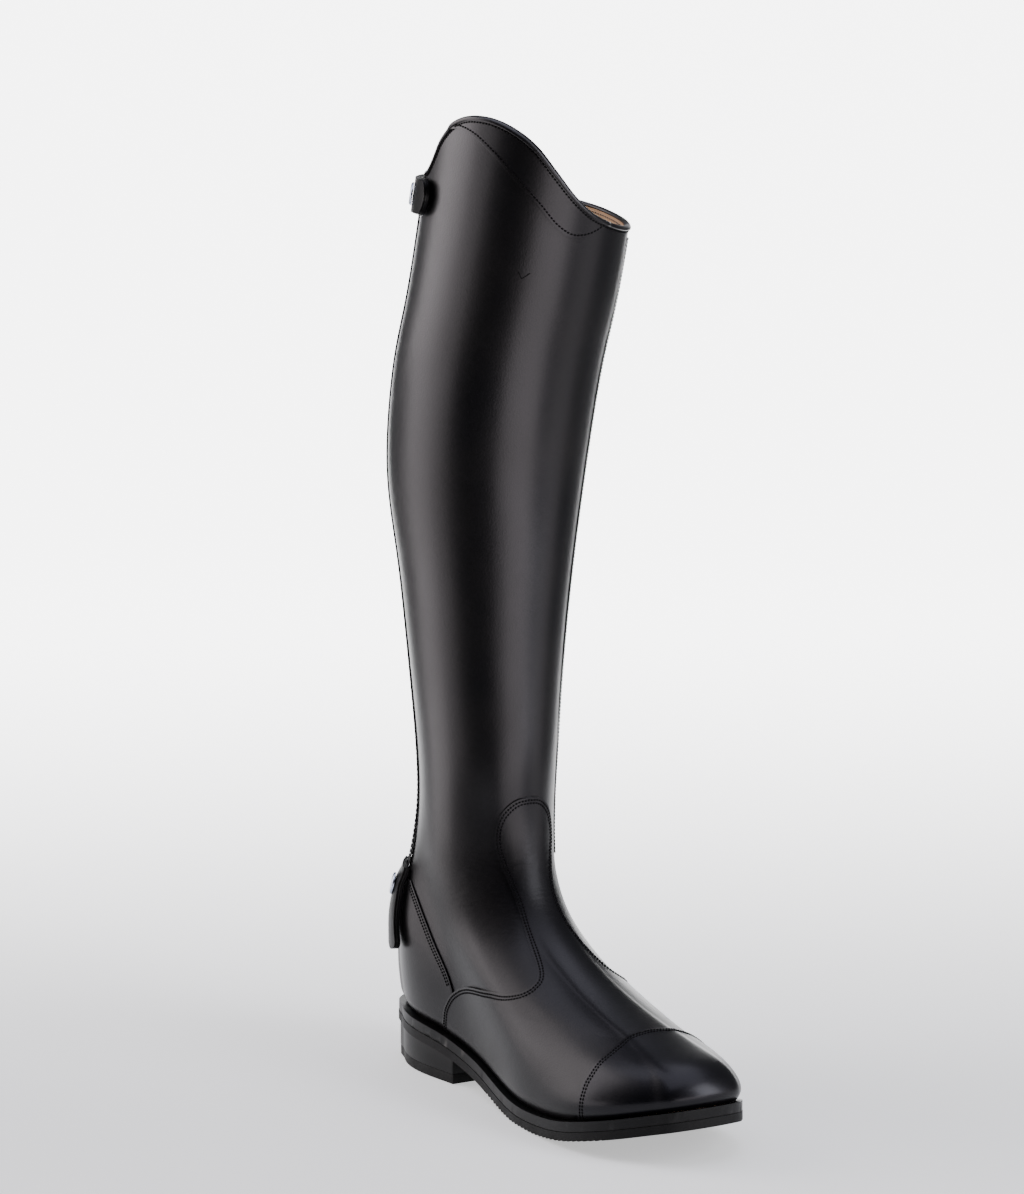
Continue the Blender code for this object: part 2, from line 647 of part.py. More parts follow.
def make_rib_cutter():
    """Narrow bars across the forefoot that cut the outsole's ribs."""
    bm = bmesh.new()
    for s in np.arange(RIB_FIRST_S, RIB_LAST_S, RIB_PITCH):
        bottom = max(float(feather_z(s)) - OUTSOLE_SIDE[-1][1], 0.0)
        rise = float(feather_z(s + RIB_PITCH / 2.0) - feather_z(s - RIB_PITCH / 2.0))
        middle = np.array([FRAME_X, s, bottom + RIB_DEPTH - RIB_BAR_DEPTH / 2.0])
        turn = Matrix.Rotation(-math.atan(rise / RIB_PITCH), 4, "X")
        size = Matrix.Diagonal((RIB_BAR_WIDTH * MM, RIB_GROOVE * MM, RIB_BAR_DEPTH * MM, 1.0))
        bmesh.ops.create_cube(bm, size=1.0, matrix=Matrix.Translation(Vector(place(middle))) @ turn @ size)
    cutter = make_object("rib_cutter", bm, None)
    cutter.hide_render = True
    cutter.display_type = "WIRE"
    return cutter


def main():
    for item in list(bpy.data.objects):
        bpy.data.objects.remove(item, do_unlink=True)
    calf = make_material("black_calf", (0.018, 0.017, 0.018), 0.34)
    rubber = make_material("black_rubber", (0.016, 0.016, 0.016), 0.62)
    lining = make_material("tan_lining", (0.52, 0.37, 0.23), 0.66)
    tape = make_material("black_zip", (0.014, 0.014, 0.015), 0.58)
    steel = make_material("dark_steel", (0.42, 0.44, 0.48), 0.28, 1.0)
    make_upper(calf)
    make_vamp(calf)
    make_heel_counter(calf)
    make_top_band(calf)
    make_binding(calf)
    make_zip(calf, tape, steel)
    make_sole(calf, rubber, lining)


main()
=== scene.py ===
# %% [markdown]
# A tall riding boot, dressed for its portrait.
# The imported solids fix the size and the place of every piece. This lesson lays finer leather, stitches,
# lining and sole over them, and then sets up a small studio round the boot.
# It could start from copies of the solids, but their facets would show in the gloss, so the pieces are
# wrapped anew on the same last.

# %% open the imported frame
import math

import bmesh
import bpy
import numpy as np
from mathutils import Matrix, Vector


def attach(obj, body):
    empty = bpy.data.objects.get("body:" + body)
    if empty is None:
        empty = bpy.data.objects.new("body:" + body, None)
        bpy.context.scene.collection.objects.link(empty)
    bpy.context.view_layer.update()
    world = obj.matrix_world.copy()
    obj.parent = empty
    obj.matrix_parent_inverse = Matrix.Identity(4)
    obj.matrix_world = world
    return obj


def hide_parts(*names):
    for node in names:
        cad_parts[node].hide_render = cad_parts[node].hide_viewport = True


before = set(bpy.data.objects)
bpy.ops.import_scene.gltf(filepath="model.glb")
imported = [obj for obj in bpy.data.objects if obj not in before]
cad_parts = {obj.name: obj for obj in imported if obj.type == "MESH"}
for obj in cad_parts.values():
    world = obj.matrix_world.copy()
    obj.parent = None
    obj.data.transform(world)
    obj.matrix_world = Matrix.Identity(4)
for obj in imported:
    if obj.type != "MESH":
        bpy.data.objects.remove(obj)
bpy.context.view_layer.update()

# %% [markdown]
# The last is the wooden form that a boot is pulled over.
# Here it is a function: level climbs through loops from the sole's edge to the collar, and phi turns round
# each loop, 0 at the front, -90 on the outer side and 180 at the back.
# Lengths are millimetres: s runs from the heel to the toe, x to the inner side and z upwards.
# A function beats a stored mesh, because every seam can ask it for a point and a direction.

# %% tables of the last
MM = 0.001
FRAME_S = 139.694
FRAME_X = 13.8115
FOOT_LOOPS = (
    # back_s back_z front_s front_z heel waist ball toe follow
    (4.0, 31.5, 284.4, 30.0, 30.0, 29.0, 42.0, 27.0, 1.00),
    (2.5, 42.0, 284.0, 39.5, 31.5, 31.0, 44.0, 27.0, 0.85),
    (2.0, 56.0, 272.0, 51.2, 32.5, 33.0, 42.5, 22.5, 0.60),
    (3.0, 72.0, 240.0, 60.0, 32.0, 34.0, 38.0, 17.0, 0.30),
    (6.5, 90.0, 186.5, 74.0, 31.0, 34.5, 34.0, 14.5, 0.10),
    (12.5, 109.0, 144.0, 93.0, 27.0, 34.0, 32.0, 13.5, 0.00),
    (19.0, 130.0, 122.0, 119.0, 23.0, 34.0, 32.0, 13.5, 0.00),
    (23.0, 155.0, 116.5, 152.0, 21.0, 34.3, 32.7, 14.5, 0.00),
)
LEG_LOOPS = (
    # z back_s front_s half_breadth lean
    (185.0, 23.0, 117.0, 36.0, 0.0),
    (230.0, 16.0, 115.0, 40.0, 2.0),
    (285.0, 4.5, 115.0, 45.5, 5.0),
    (340.0, -8.5, 117.0, 52.5, 8.0),
    (400.0, -2.0, 126.0, 55.5, 11.0),
    (450.0, 10.0, 138.5, 55.5, 15.5),
    (550.0, 27.0, 161.0, 54.5, 21.0),
)
FEATHER_LINE = (
    # s, z
    (0.0, 31.5), (40.0, 30.5), (75.0, 27.5), (110.0, 19.5), (145.0, 12.6),
    (165.0, 10.6), (190.0, 10.6), (215.0, 13.0), (245.0, 19.5), (288.0, 31.5),
)
COLLAR_LINE = (
    # degrees, z
    (-180, 497.0), (-150, 502.0), (-130, 505.5), (-118, 507.0), (-109, 510.0), (-103, 516.5), (-98, 525.0),
    (-92, 531.5), (-80, 538.5), (-66, 539.5), (-50, 534.5), (-36, 525.0), (-23, 511.0), (-12, 499.0),
    (0, 489.0), (14, 482.5), (30, 478.5), (50, 477.0), (75, 479.5), (105, 485.0), (140, 491.5),
    (180, 497.0),
)
STATIONS = np.array([0.10, 0.40, 0.68, 0.95])
TOE_SWING, SWING_START, SWING_LENGTH = 12.0, 90.0, 210.0
BALL_SKEW, HEEL_FULL, TOE_FULL = 0.03, 0.28, 0.26


def hermite(u, start, end, start_slope, end_slope):
    """Cubic from start to end; each slope is the climb that it would make over the whole step."""
    first = start * (2 * u ** 3 - 3 * u ** 2 + 1) + start_slope * (u ** 3 - 2 * u ** 2 + u)
    last = end * (3 * u ** 2 - 2 * u ** 3) + end_slope * (u ** 3 - u ** 2)
    return first + last


def spline(knots, values, at):
    """Smooth curve through the values at the knots."""
    knots, values = np.asarray(knots, float), np.asarray(values, float)
    if values.ndim == 1:
        return spline(knots, values[:, None], at)[..., 0]
    steps = np.diff(knots)
    slopes = np.diff(values, axis=0) / steps[:, None]
    inner = slopes[:-1] * steps[1:, None] + slopes[1:] * steps[:-1, None]
    inner /= (steps[:-1] + steps[1:])[:, None]
    tangents = np.concatenate([slopes[:1], inner, slopes[-1:]])
    at = np.clip(np.asarray(at, float), knots[0], knots[-1])
    k = np.clip(np.searchsorted(knots, at, side="right") - 1, 0, len(knots) - 2)
    step = steps[k][..., None]
    u = (at - knots[k])[..., None] / step
    return hermite(u, values[k], values[k + 1], tangents[k] * step, tangents[k + 1] * step)


def ease(u):
    """Smooth rise from 0 to 1."""
    u = np.clip(u, 0.0, 1.0)
    return u * u * (3.0 - 2.0 * u)


def gentle(u):
    """A still smoother rise, whose bend starts and ends at nothing."""
    u = np.clip(u, 0.0, 1.0)
    return u ** 3 * (10.0 - 15.0 * u + 6.0 * u * u)


roundness = 2.0 * np.sqrt(STATIONS * (1.0 - STATIONS))
foot_rows = [[*row[:4], *(np.array(row[4:8]) / roundness), row[8], 0.0] for row in FOOT_LOOPS]
leg_rows = [[back, z, front, z, *[half] * 4, 0.0, lean] for z, back, front, half, lean in LEG_LOOPS]
LOOPS = np.array(foot_rows + leg_rows)
LOOP_NUMBERS = np.arange(len(LOOPS))
TOP_LEVEL = len(LOOPS) - 1.0
print("loops on the last:", len(LOOPS))

# %% [markdown]
# A carved last is sanded before use, because leather shows every ridge in its gloss.
# A curve that only passes through its loops changes its bend at each of them, so the loops are averaged with
# their neighbours over a third of a step. This moves the wall by less than half a millimetre.

# %% sanding the last
SANDING = ((-1.0, 1.0), (-0.5, 2.0), (0.0, 3.0), (0.5, 2.0), (1.0, 1.0))
SAND_TOTAL = sum(weight for _, weight in SANDING)
SAND_REACH = 0.36
SAND_ALONG = 0.03
fine_levels = np.linspace(0.0, TOP_LEVEL, 281)
carved = spline(LOOP_NUMBERS, LOOPS, fine_levels)
reach = np.minimum(SAND_REACH, np.minimum(fine_levels, TOP_LEVEL - fine_levels))
sanded = sum(weight * spline(LOOP_NUMBERS, LOOPS, fine_levels + step * reach) for step, weight in SANDING)
sanded /= SAND_TOTAL
print("sanded by up to", round(float(np.abs(sanded - carved).max()), 2))

# %% [markdown]
# The wall is the boot's outer skin. Each loop is an oval whose breadth changes along the foot, its ends are
# filled out at heel and toe, and the toe swings to the inner side.
# A sculpted mesh could have this shape too, but from a function a seam also learns which way is out.

# %% the wall of the boot as a function
LEG_START_LEVEL = 9.0
leg_levels = np.linspace(LEG_START_LEVEL, TOP_LEVEL, 400)
leg_heights = spline(LOOP_NUMBERS, LOOPS[:, 1], leg_levels)


def feather_z(s):
    """Height of the sole's upper edge."""
    line = np.array(FEATHER_LINE)
    return spline(line[:, 0], line[:, 1], s)


def station_breadth(along, breadths):
    """Half breadth between the four stations, level at both ends."""
    widths = np.diff(STATIONS)
    slopes = np.diff(breadths, axis=-1) / widths
    tangents = np.zeros_like(breadths)
    for k in (1, 2):
        blend = slopes[..., k - 1] * widths[k] + slopes[..., k] * widths[k - 1]
        tangents[..., k] = blend / (widths[k - 1] + widths[k])
    along = np.clip(along, STATIONS[0], STATIONS[-1])
    result = np.zeros_like(along)
    for k in range(3):
        u = (along - STATIONS[k]) / widths[k]
        ends = breadths[..., k], breadths[..., k + 1]
        value = hermite(u, *ends, widths[k] * tangents[..., k], widths[k] * tangents[..., k + 1])
        result = np.where((u >= 0.0) & (u <= 1.0), value, result)
    return result


def half_breadth(along, breadths):
    """The same, sanded along the foot."""
    total = sum(weight * station_breadth(along + step * SAND_ALONG, breadths) for step, weight in SANDING)
    return total / SAND_TOTAL


def wall(phi, level):
    """Outer face of the upper, as x, s and z."""
    phi, level = np.broadcast_arrays(np.asarray(phi, float), np.asarray(level, float))
    row = spline(fine_levels, sanded, level)
    along, across = (1.0 + np.cos(phi)) / 2.0, np.sin(phi)
    low, foot = np.clip(1.0 - level / 3.5, 0.0, 1.0), np.clip((7.0 - level) / 4.0, 0.0, 1.0)
    skewed = np.clip(along - np.sign(across) * BALL_SKEW * ease(np.abs(across)) * low, 0.0, 1.0)
    s = row[..., 0] + (row[..., 2] - row[..., 0]) * along
    share = np.clip((s - LOOPS[0, 0]) / (LOOPS[0, 2] - LOOPS[0, 0]), 0.0, 1.0)
    straight = LOOPS[0, 1] + (LOOPS[0, 3] - LOOPS[0, 1]) * share
    z = row[..., 1] + (row[..., 3] - row[..., 1]) * along
    z = z + np.clip(row[..., 8], 0.0, 1.0) * (feather_z(s) - straight)
    full = HEEL_FULL * gentle(1.0 - along / STATIONS[0])
    full = full + TOE_FULL * gentle((along - STATIONS[-1]) / (1.0 - STATIONS[-1]))
    swing = TOE_SWING * ease((s - SWING_START) / SWING_LENGTH) * foot
    x = across * half_breadth(skewed, row[..., 4:8]) * (1.0 + full * foot) + swing + row[..., 9]
    return np.stack([x, s, z], -1)


def wall_ways(phi, level):
    """How a point moves for a small turn of phi and a small climb of level, in millimetres per unit."""
    tiny = 0.002
    turn = (wall(phi + tiny, level) - wall(phi - tiny, level)) / (2.0 * tiny)
    high, low = np.minimum(level + tiny, TOP_LEVEL), np.maximum(level - tiny, 0.0)
    climb = (wall(phi, high) - wall(phi, low)) / (high - low)[..., None]
    return turn, climb


def turned_out(normal, phi):
    """A normal at unit length, turned away from the boot's middle."""
    facing = np.stack([np.sin(phi), np.cos(phi), np.zeros_like(phi)], -1)
    side = np.sign(np.sum(normal * facing, axis=-1, keepdims=True))
    return normal / np.linalg.norm(normal, axis=-1, keepdims=True) * side


def outward(phi, level):
    """Unit direction straight out of the leather."""
    turn, climb = wall_ways(phi, level)
    return turned_out(np.cross(climb, turn), phi)


def leg_level(z):
    """Level of a height on the leg."""
    return np.interp(z, leg_heights, leg_levels)


def collar_z(phi):
    """Height of the collar, the same after a full turn."""
    line = np.array(COLLAR_LINE)
    knots = np.concatenate([line[:-1, 0] - 360.0, line[:, 0], line[1:, 0] + 360.0])
    return spline(knots, np.concatenate([line[:-1, 1], line[:, 1], line[1:, 1]]), np.degrees(phi))


def place(points):
    """Millimetres on the boot as metres in the frame."""
    points = np.asarray(points, float)
    return np.stack([points[..., 0] - FRAME_X, FRAME_S - points[..., 1], points[..., 2]], -1) * MM


collar_heights = [round(float(collar_z(np.radians(degrees))), 1) for degrees in (50.0, -70.0)]
print("collar's lowest and highest point:", collar_heights)

# %% [markdown]
# Leather that has been walked in is never perfectly even. Round the ankle it keeps soft troughs, and over
# the leg it waves by a fraction of a millimetre.
# A bump map could fake them, but real troughs also bend the highlights at the edges, so each one is placed
# as a short soft valley with a low ridge beside it. Just above the welt the leather is drawn in,
# where the maker pulled it round the last's edge.

# %% creases placed one by one
CREASES = (
    # degrees, level, tilt, half_length, half_width, depth
    (-14, 6.38, 8, 9.0, 1.1, 0.07),
    (-10, 6.22, 5, 11.0, 1.2, 0.09),
    (-13, 6.05, 3, 10.0, 1.1, 0.08),
    (-9, 5.88, 2, 11.0, 1.3, 0.08),
    (-14, 5.72, -2, 9.0, 1.2, 0.06),
    (-52, 6.25, 24, 16.0, 2.6, 0.07),
    (-60, 5.75, 30, 18.0, 3.0, 0.09),
    (-92, 6.05, 12, 18.0, 3.0, 0.07),
    (46, 6.30, -16, 18.0, 2.8, 0.14),
    (62, 5.85, -24, 18.0, 3.0, 0.16),
    (92, 6.25, -12, 20.0, 3.4, 0.14),
    (150, 6.60, 4, 16.0, 2.8, 0.14),
    (-165, 6.35, -6, 14.0, 2.6, 0.14),
)
LOOP_RISE = 21.0
LEG_RADIUS = 44.0
WAVE = 0.035
RIDGE, RIDGE_OFF = 0.45, 1.7
FEATHER_TUCK = 2.6
TUCK_LEVELS = 0.8


def worn(phi, level):
    """How far wear moves the leather out, in millimetres."""
    turn = np.degrees(phi)
    wave = np.sin(1.7 * level + 2.0 * phi) * np.sin(0.9 * level - phi)
    lift = WAVE * wave * ease((level - 5.0) / 3.0)
    for degrees, at_level, tilt, half_length, half_width, depth in CREASES:
        aside = np.radians((turn - degrees + 180.0) % 360.0 - 180.0) * LEG_RADIUS
        up = (level - at_level) * LOOP_RISE
        lean = math.radians(tilt)
        on = aside * math.cos(lean) + up * math.sin(lean)
        off = (up * math.cos(lean) - aside * math.sin(lean)) / half_width
        fade = np.exp(-(on / half_length) ** 4)
        lift = lift + depth * fade * (RIDGE * np.exp(-(off - RIDGE_OFF) ** 2) - np.exp(-off ** 2))
    return lift


def tucked(level):
    """How far the leather is drawn in just above the welt, in millimetres."""
    return FEATHER_TUCK * np.clip(1.0 - level / TUCK_LEVELS, 0.0, 1.0) ** 2


def skin(phi, level, out):
    """A point at the given distance outside the worn leather."""
    phi, level, out = np.broadcast_arrays(*(np.asarray(item, float) for item in (phi, level, out)))
    return wall(phi, level) + outward(phi, level) * (out + worn(phi, level) - tucked(level))[..., None]


print("creases placed:", len(CREASES))

# %% [markdown]
# Finishes come before the pieces, so that each piece can take its own at once.
# Calf leather is nearly black, a little violet in the depth and brown where light grazes it. Its pores are
# about half a millimetre, so a fine cell pattern drives a weak bump, and a slow cloud changes the gloss.
# The polish is a thin coat on the shader itself.

# %% helpers for procedural finishes
TONE_STOPS = (0.36, 0.66)
GRAIN_DEPTH = 0.0002


def linked(tree, kind, wires=(), **values):
    """A new shader node with its plain values set and its inputs wired."""
    node = tree.nodes.new(kind)
    for name, value in values.items():
        setattr(node, name, value)
    for socket, source in wires:
        if isinstance(source, bpy.types.NodeSocket):
            tree.links.new(source, node.inputs[socket])
        else:
            node.inputs[socket].default_value = source
    return node


def ramp(tree, value, start, end, low, high, shape="SMOOTHSTEP"):
    """Carries a value from one range over to another."""
    wires = (("Value", value), ("From Min", start), ("From Max", end), ("To Min", low), ("To Max", high))
    return linked(tree, "ShaderNodeMapRange", wires, interpolation_type=shape).outputs["Result"]


def times(tree, first, second):
    """The product of two shader values."""
    return linked(tree, "ShaderNodeMath", ((0, first), (1, second)), operation="MULTIPLY").outputs["Value"]


def finish_named(name, dark, light, roughness, cloud, grain, relief, coat=0.0, coat_roughness=0.2,
                 metallic=0.0, specular=0.5, tint=(1.0, 1.0, 1.0)):
    """A finish with two blended tones, clouded gloss and a fine raised grain."""
    material = bpy.data.materials.new(name)
    material.use_nodes = True
    tree = material.node_tree
    shader = tree.nodes["Principled BSDF"]
    looks = (("Metallic", metallic), ("Coat Weight", coat), ("Coat Roughness", coat_roughness),
             ("Specular IOR Level", specular), ("Specular Tint", (*tint, 1.0)))
    for socket, value in looks:
        shader.inputs[socket].default_value = value
    where = tree.nodes.new("ShaderNodeTexCoord").outputs["Object"]
    wires = (("Vector", where), ("Scale", cloud), ("Detail", 4.0))
    clouds = linked(tree, "ShaderNodeTexNoise", wires).outputs["Fac"]
    tone = linked(tree, "ShaderNodeValToRGB", (("Fac", clouds),))
    for stop, position, colour in zip(tone.color_ramp.elements, TONE_STOPS, (dark, light)):
        stop.position = position
        stop.color = (*colour, 1.0)
    tree.links.new(tone.outputs["Color"], shader.inputs["Base Color"])
    tree.links.new(ramp(tree, clouds, 0.3, 0.7, *roughness, shape="LINEAR"), shader.inputs["Roughness"])
    cells = linked(tree, "ShaderNodeTexVoronoi", (("Vector", where), ("Scale", grain)), feature="SMOOTH_F1")
    wires = (("Strength", relief), ("Distance", GRAIN_DEPTH), ("Height", cells.outputs["Distance"]))
    bump = linked(tree, "ShaderNodeBump", wires)
    tree.links.new(bump.outputs["Normal"], shader.inputs["Normal"])
    return material


# %% [markdown]
# On a worn boot the gloss isn't the same everywhere. The foot is duller than the leg, and where the ankle
# bends the leather is dull and finely wrinkled.
# Painting such places would need a picture, so heights and depths on the boot make soft masks instead. They
# lower the shine, raise the roughness and let a stretched noise wrinkle the bump.

# %% a helper for worn gloss
FOOT_TOP, LEG_START = 0.07, 0.25
FLEX_LOW, FLEX_HIGH = (0.085, 0.108), (0.124, 0.148)
FLEX_FRONT = (0.040, 0.075)
WRINKLE = (150.0, 150.0, 620.0)
WRINKLE_DEPTH, WRINKLE_STRENGTH = 0.0004, 0.8


def wear(material, foot_shine, flex_shine, flex_dull):
    """Dulls the foot and the bend of the ankle, and wrinkles the bend."""
    tree = material.node_tree
    shader = tree.nodes["Principled BSDF"]
    where = tree.nodes.new("ShaderNodeTexCoord").outputs["Object"]
    axes = linked(tree, "ShaderNodeSeparateXYZ", (("Vector", where),)).outputs
    full = shader.inputs["Specular IOR Level"].default_value
    coat = shader.inputs["Coat Weight"].default_value
    climb = ramp(tree, axes["Z"], FOOT_TOP, LEG_START, foot_shine, full)
    above = ramp(tree, axes["Z"], *FLEX_LOW, 0.0, 1.0)
    below = ramp(tree, axes["Z"], *FLEX_HIGH, 1.0, 0.0)
    front = ramp(tree, axes["Y"], *FLEX_FRONT, 1.0, 0.0)
    bend = times(tree, times(tree, above, below), front)
    left = ramp(tree, bend, 0.0, 1.0, 1.0, flex_shine, shape="LINEAR")
    tree.links.new(times(tree, climb, left), shader.inputs["Specular IOR Level"])
    tree.links.new(times(tree, left, coat), shader.inputs["Coat Weight"])
    smooth = shader.inputs["Roughness"].links[0].from_socket
    wires = ((0, bend), (1, flex_dull), (2, smooth))
    rough = linked(tree, "ShaderNodeMath", wires, operation="MULTIPLY_ADD").outputs["Value"]
    tree.links.new(rough, shader.inputs["Roughness"])
    stretched = linked(tree, "ShaderNodeMapping", (("Vector", where), ("Scale", WRINKLE))).outputs["Vector"]
    wires = (("Vector", stretched), ("Scale", 1.0), ("Detail", 3.0))
    folds = linked(tree, "ShaderNodeTexNoise", wires).outputs["Fac"]
    grain = shader.inputs["Normal"].links[0].from_socket
    strength = times(tree, bend, WRINKLE_STRENGTH)
    wires = (("Strength", strength), ("Distance", WRINKLE_DEPTH), ("Height", folds), ("Normal", grain))
    tree.links.new(linked(tree, "ShaderNodeBump", wires).outputs["Normal"], shader.inputs["Normal"])


# %% [markdown]
# The boot has calf in three states of polish, dressed edges, rubber, a tan lining, thread, tape and metal.
# One helper makes them all, because they differ only in tone, gloss and grain.

# %% finishes of this boot
calf = finish_named(
    "black_calf", (0.0006, 0.0006, 0.0010), (0.0013, 0.0010, 0.0010), (0.33, 0.41), 16.0, 1300.0, 0.28,
    coat=0.10, coat_roughness=0.26, specular=0.26, tint=(0.97, 0.94, 1.0))
wear(calf, 0.16, 0.60, 0.12)
toe_calf = finish_named(
    "polished_calf", (0.0006, 0.0006, 0.0010), (0.0011, 0.0009, 0.0011), (0.34, 0.41), 16.0, 1500.0, 0.20,
    coat=0.12, coat_roughness=0.24, specular=0.15, tint=(0.89, 0.87, 1.0))
tab_leather = finish_named(
    "tab_calf", (0.0006, 0.0006, 0.0009), (0.0012, 0.0010, 0.0010), (0.40, 0.48), 30.0, 1300.0, 0.28,
    coat=0.03, coat_roughness=0.30, specular=0.08)
edge_leather = finish_named(
    "dressed_edge", (0.0010, 0.0010, 0.0013), (0.0016, 0.0015, 0.0016), (0.36, 0.42), 30.0, 900.0, 0.12,
    specular=0.16)
sole_rubber = finish_named(
    "sole_rubber", (0.0012, 0.0012, 0.0014), (0.0024, 0.0022, 0.0022), (0.48, 0.62), 90.0, 1300.0, 0.22,
    specular=0.14)
lining_leather = finish_named(
    "tan_lining", (0.44, 0.285, 0.165), (0.60, 0.415, 0.260), (0.58, 0.72), 40.0, 1500.0, 0.22)
thread = finish_named(
    "waxed_thread", (0.0008, 0.0008, 0.0012), (0.0022, 0.0020, 0.0022), (0.66, 0.80), 800.0, 5200.0, 0.30,
    specular=0.05)
lining_thread = finish_named(
    "lining_thread", (0.012, 0.009, 0.007), (0.030, 0.021, 0.015), (0.5, 0.65), 800.0, 5200.0, 0.3)
zip_tape = finish_named(
    "woven_tape", (0.0012, 0.0012, 0.0014), (0.0030, 0.0030, 0.0034), (0.62, 0.78), 300.0, 1700.0, 0.60,
    specular=0.2)
zip_metal = finish_named(
    "zip_teeth", (0.004, 0.004, 0.005), (0.009, 0.009, 0.010), (0.46, 0.58), 500.0, 3000.0, 0.1,
    metallic=0.4, specular=0.2)
snap_metal = finish_named(
    "snap_nickel", (0.30, 0.33, 0.40), (0.42, 0.46, 0.55), (0.16, 0.28), 220.0, 2600.0, 0.05, metallic=1.0)
print("finishes:", len(bpy.data.materials))

# %% [markdown]
# Every sheet of the boot starts as a flat grid that is laid on the last, as a cut piece of leather is pulled
# over the wooden form. Solidify then gives it its thickness, and a bevel rolls its cut edge, because a
# leather edge is never sharp.

# %% helpers that wrap, thicken and finish a sheet


def wrapped(columns, rows, lay):
    """A flat grid whose points lay(u, v) puts on the boot; u and v run from 0 to 1."""
    bm = bmesh.new()
    bmesh.ops.create_grid(bm, x_segments=columns, y_segments=rows, size=1.0)
    flat = (np.array([vert.co for vert in bm.verts]) + 1.0) / 2.0
    for vert, point in zip(bm.verts, place(lay(flat[:, 0], flat[:, 1]))):
        vert.co = point
    bmesh.ops.remove_doubles(bm, verts=bm.verts, dist=0.02 * MM)
    return bm


def sharp_edges(bm, angle):
    """Edges whose two faces meet at more than the angle, in radians."""
    bm.normal_update()
    return [edge for edge in bm.edges if len(edge.link_faces) == 2 and edge.calc_face_angle() > angle]


def roll_edges(bm, edges, offset, segments=3):
    """Rounds edges with a small bevel."""
    bmesh.ops.bevel(bm, geom=edges, offset=offset * MM, offset_type="OFFSET", segments=segments, profile=0.5,
                    affect="EDGES", material=-1, clamp_overlap=True)


def thicken(bm, thickness, roll):
    """Gives a sheet its thickness inwards and rolls its cut edges."""
    bmesh.ops.solidify(bm, geom=bm.faces[:], thickness=thickness * MM)
    bmesh.ops.recalc_face_normals(bm, faces=bm.faces)
    if roll:
        roll_edges(bm, sharp_edges(bm, 0.9), roll)


def keep(name, bm, material, node=None):
    """Makes the finished mesh a piece of the boot."""
    bmesh.ops.recalc_face_normals(bm, faces=bm.faces)
    mesh = bpy.data.meshes.new(name)
    bm.to_mesh(mesh)
    bm.free()
    mesh.shade_smooth()
    mesh.set_sharp_from_angle(angle=math.radians(48.0))
    mesh.materials.append(material)
    piece = bpy.data.objects.new(name, mesh)
    bpy.context.scene.collection.objects.link(piece)
    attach(piece, "root")
    if node:
        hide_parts(node)
    print(name, len(mesh.polygons), "faces")


def sheet(name, grid, lay, thickness, roll, node=None, material=calf):
    """Wraps, thickens and keeps one sheet."""
    bm = wrapped(*grid, lay)
    thicken(bm, thickness, roll)
    keep(name, bm, material, node)


def row_levels(v, top):
    """Levels from the feather line to the collar, closer together on the foot."""
    split = 0.58
    low = LEG_START_LEVEL * np.clip(v / split, 0.0, 1.0)
    high = LEG_START_LEVEL + (top - LEG_START_LEVEL) * (v - split) / (1.0 - split)
    return np.where(v <= split, low, high)


# %% [markdown]
# The upper is one wall from the feather line to the collar. The real one has leather outside and a tan
# lining inside, so it is made twice: a thin black skin on the outside and a tan one just behind it.

# %% upper and lining
SKIN_THICK = 1.3
LINING_OUT = -1.4
LINING_THICK = 1.0
RIM_ABOVE = 1.3


def lay_wall(out):
    """Wraps a whole grid round the leg and foot, up into the binding's fold."""
    def lay(u, v):
        phi = (2.0 * u - 1.0) * math.pi
        return skin(phi, row_levels(v, leg_level(collar_z(phi) + RIM_ABOVE)), out)
    return lay


sheet("leather_upper", (220, 150), lay_wall(0.0), SKIN_THICK, 0.0, "upper")
sheet("tan_lining", (150, 110), lay_wall(LINING_OUT), LINING_THICK, 0.0,
      material=lining_leather)

# %% [markdown]
# Vamp, toe cap, heel counter and top band are stitched on over the wall. Their edges are drawn in a
# few steps of phi and level, and the grid lines run from one edge to the other, so the cut edge is smooth.
# Cutting them with a boolean would leave slivers along the edge, which a bevel can't roll.

# %% panel edges
VAMP_EDGE = (
    # degrees, level
    (0.0, 7.47), (10.5, 7.44), (19.0, 7.34), (27.0, 7.15), (31.6, 6.90), (32.6, 6.62), (29.6, 6.31),
    (25.4, 5.98), (23.5, 5.65), (24.8, 5.25), (29.0, 4.82), (35.0, 4.38), (40.5, 4.10), (47.0, 3.90),
    (56.5, 3.66), (67.0, 3.46), (79.0, 3.30), (97.0, 2.88), (107.5, 2.32), (113.8, 1.60), (116.6, 0.90),
    (118.5, 0.06),
)
COUNTER_EDGE = (
    # degrees, level
    (116.4, 0.06), (114.6, 0.90), (111.8, 1.60), (109.0, 2.10), (108.0, 2.40), (107.6, 2.85), (107.7, 3.30),
    (108.0, 3.80), (108.9, 4.22), (111.5, 4.62), (115.2, 4.92), (120.5, 5.16),
)
CAP_EDGE = (
    # degrees, level
    (-51.5, 0.06), (-50.6, 0.60), (-49.6, 1.20), (-47.2, 1.72), (-40.0, 2.34), (-24.0, 2.95), (-4.0, 3.18),
    (14.0, 3.12), (28.0, 2.93), (40.0, 2.58), (49.0, 2.05), (53.5, 1.55), (55.8, 1.10), (57.0, 0.60),
    (57.6, 0.06),
)
BAND_EDGE = (
    # degrees, z
    (-93, 534.0), (-81, 535.0), (-71, 531.9), (-57, 522.0), (-43, 508.5), (-30, 495.5), (-18, 482.8),
    (-9, 477.1), (1, 476.6), (9, 479.3), (16, 484.0),
)
GAP = 0.3
PANEL = 1.2
PANEL_FACE = GAP + PANEL


def run_length(points):
    """Length along a row of points, from its start."""
    return np.concatenate([[0.0], np.cumsum(np.linalg.norm(np.diff(points, axis=0), axis=1))])


